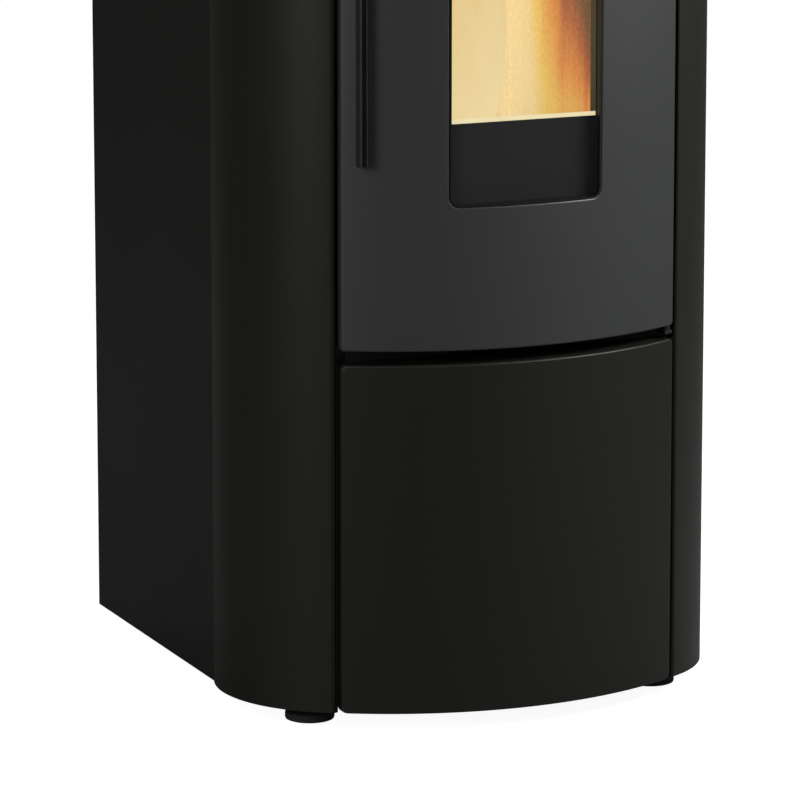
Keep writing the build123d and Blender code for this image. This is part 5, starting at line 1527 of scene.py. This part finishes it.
@dataclass
class Fire(SubAssembly):
    """Flames and glowing pellets in the brazier."""

    body: Body = Body.POT
    grate_y: float = -0.1335
    bed_wide: float = 0.108
    bed_deep: float = 0.096
    bed_level: float = 0.578
    bed_heap: float = 0.016
    lump_height: float = 0.0022
    lump_waves: Pair = (610.0, 570.0)
    tongues: tuple[tuple[float, ...], ...] = (
        (0.0, 0.0, 0.044, 0.934, 0.006, 0.4), (-0.028, 0.010, 0.030, 0.905, -0.014, 1.9),
        (0.028, 0.008, 0.030, 0.918, 0.018, 3.1), (-0.010, -0.020, 0.026, 0.870, -0.004, 4.2),
        (0.018, -0.022, 0.024, 0.850, 0.010, 5.5))

    def build(self) -> None:
        """Build and dress the fire."""
        self.embers()
        shape = SheetShape()
        for x, depth, *form in self.tongues:
            FlameTongue(x, self.grate_y + depth, *form).build(shape)
        self.show(shape, "flames", FLAME, Slot.CAST, weighted=False)

    def embers(self) -> None:
        """Build the heaped bed of burning pellets."""
        shape = SheetShape()
        bmesh.ops.create_grid(shape.bm, x_segments=28, y_segments=26, size=0.5)
        bmesh.ops.scale(shape.bm, vec=(self.bed_wide, self.bed_deep, 1.0), verts=shape.bm.verts[:])
        for vert in shape.bm.verts:
            x, y, _ = vert.co
            reach = max(abs(x) / (self.bed_wide / 2), abs(y) / (self.bed_deep / 2))
            lump = math.sin(x * self.lump_waves[0]) * math.cos(y * self.lump_waves[1])
            vert.co.z = (self.bed_level + self.bed_heap * (1.0 - reach**2)
                         + self.lump_height * lump)
            vert.co.y += self.grate_y
        self.show(shape, "glowing_pellets", EMBERS, Slot.CAST, weighted=False)


# ------------------------------------------------------------------ studio
@dataclass(frozen=True)
class SoftLamp:
    """A soft white area lamp."""

    name: str
    place: Place
    aim: Place
    size: Pair
    power: float

    def build(self) -> None:
        """Add the lamp to the scene."""
        data = bpy.data.lights.new(self.name, "AREA")
        data.shape = "RECTANGLE"
        data.size, data.size_y = self.size
        data.energy = self.power
        lamp = placed(self.name, data)
        lamp.location = self.place
        direction = Vector(self.aim) - Vector(self.place)
        lamp.rotation_euler = direction.to_track_quat("-Z", "Y").to_euler()
        log.info("%s lights the stove", self.name)


@dataclass
class Studio:
    """Camera, white floor, world and lamps."""

    camera_place: Place = (-2.2322, -5.3578, 1.5038)
    yaw: float = 22.517
    pitch: float = 11.860
    lens: float = 246.69
    sensor: float = 36.0
    sight: float = 60.0
    day: float = 0.16
    floor_half: float = 30.0
    floor_grey: Colour = (0.3, 0.3, 0.3)
    floor_glow: float = 0.94
    lamps: tuple[SoftLamp, ...] = (
        SoftLamp("right_softbox", (1.3, -1.0, 1.5), (0.15, -0.25, 0.8), (0.5, 0.7), 43.0),
        SoftLamp("left_softbox", (-2.7, -2.05, 1.6), (-0.1, -0.1, 0.6), (1.3, 1.6), 45.0),
        SoftLamp("rear_softbox", (1.6, 3.0, 2.4), (0.0, 0.2, 0.6), (1.2, 1.2), 36.0),
    )

    def build(self) -> None:
        """Build the whole studio."""
        self.camera()
        self.floor()
        self.world()
        for lamp in self.lamps:
            lamp.build()
        bpy.context.scene.view_settings.view_transform = "Standard"

    def camera(self) -> None:
        """Add the camera at the photograph's viewpoint."""
        data = bpy.data.cameras.new("camera")
        data.lens = self.lens
        data.sensor_width = self.sensor
        data.clip_end = self.sight
        camera = placed("camera", data)
        camera.location = self.camera_place
        camera.rotation_euler = (math.radians(90.0 - self.pitch), 0.0, math.radians(-self.yaw))
        bpy.context.scene.camera = camera

    def floor(self) -> None:
        """Add a white floor that keeps a soft shadow."""
        bm = bmesh.new()
        bmesh.ops.create_grid(bm, x_segments=1, y_segments=1, size=self.floor_half)
        mesh = bpy.data.meshes.new("floor")
        bm.to_mesh(mesh)
        bm.free()
        floor = placed("floor", mesh)
        sheet = NodeSheet("floor_white")
        sheet.set(Base_Color=(*self.floor_grey, 1.0), Roughness=0.9, Specular_IOR_Level=0.0,
                  Emission_Color=(1.0, 1.0, 1.0, 1.0))
        seen = self.seen(sheet.tree)
        sheet.feed("Emission Strength", sheet.spread(seen, 0.0, self.floor_glow, 0.0, 1.0))
        mesh.materials.append(sheet.material)

    def seen(self, tree: bpy.types.NodeTree) -> Socket:
        """Whether a ray comes from the camera or through glass.

        Args:
            tree: Node tree that takes the nodes.

        Returns:
            1 for such a ray, otherwise 0.
        """
        path = tree.nodes.new("ShaderNodeLightPath")
        either = tree.nodes.new("ShaderNodeMath")
        either.operation = "MAXIMUM"
        tree.links.new(path.outputs["Is Camera Ray"], either.inputs[0])
        tree.links.new(path.outputs["Is Transmission Ray"], either.inputs[1])
        return either.outputs["Value"]

    def world(self) -> None:
        """Light from all round, with a white background."""
        world = bpy.data.worlds.new("studio")
        bpy.context.scene.world = world
        world.use_nodes = True
        tree = world.node_tree
        background = tree.nodes["Background"]
        background.inputs["Color"].default_value = (1.0, 1.0, 1.0, 1.0)
        level = tree.nodes.new("ShaderNodeMapRange")
        level.inputs["To Min"].default_value = self.day
        level.inputs["To Max"].default_value = 1.0
        tree.links.new(self.seen(tree), level.inputs["Value"])
        tree.links.new(level.outputs["Result"], background.inputs["Strength"])


class FrameDressing:
    """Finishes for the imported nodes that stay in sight."""

    def build(self, nodes: dict[str, bpy.types.Object]) -> None:
        """Give each node its finish, and soft edges where it has a width for them.

        Args:
            nodes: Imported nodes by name.
        """
        for finish, names in NODE_FINISHES.items():
            for name in names:
                mesh = nodes[name].data
                mesh.materials.clear()
                mesh.materials.append(finish.material())
                log.info("%s wears %s", name, finish.name)
        for width, names in NODE_BEVELS.items():
            for name in names:
                bevel = nodes[name].modifiers.new("soft_edges", "BEVEL")
                bevel.width = width
                bevel.segments = 2
                bevel.limit_method = "ANGLE"
                bevel.angle_limit = BEVEL_FROM


def main() -> None:
    """Build the scene in order."""
    logging.basicConfig(level=logging.INFO, format="%(message)s")
    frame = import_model()
    Studio().build()
    FrameDressing().build(frame["nodes"])
    for part in (Casing(), ServicePanel(), FireDoor(), Controls(), Fire()):
        part.build()


if __name__ == "__main__":
    main()
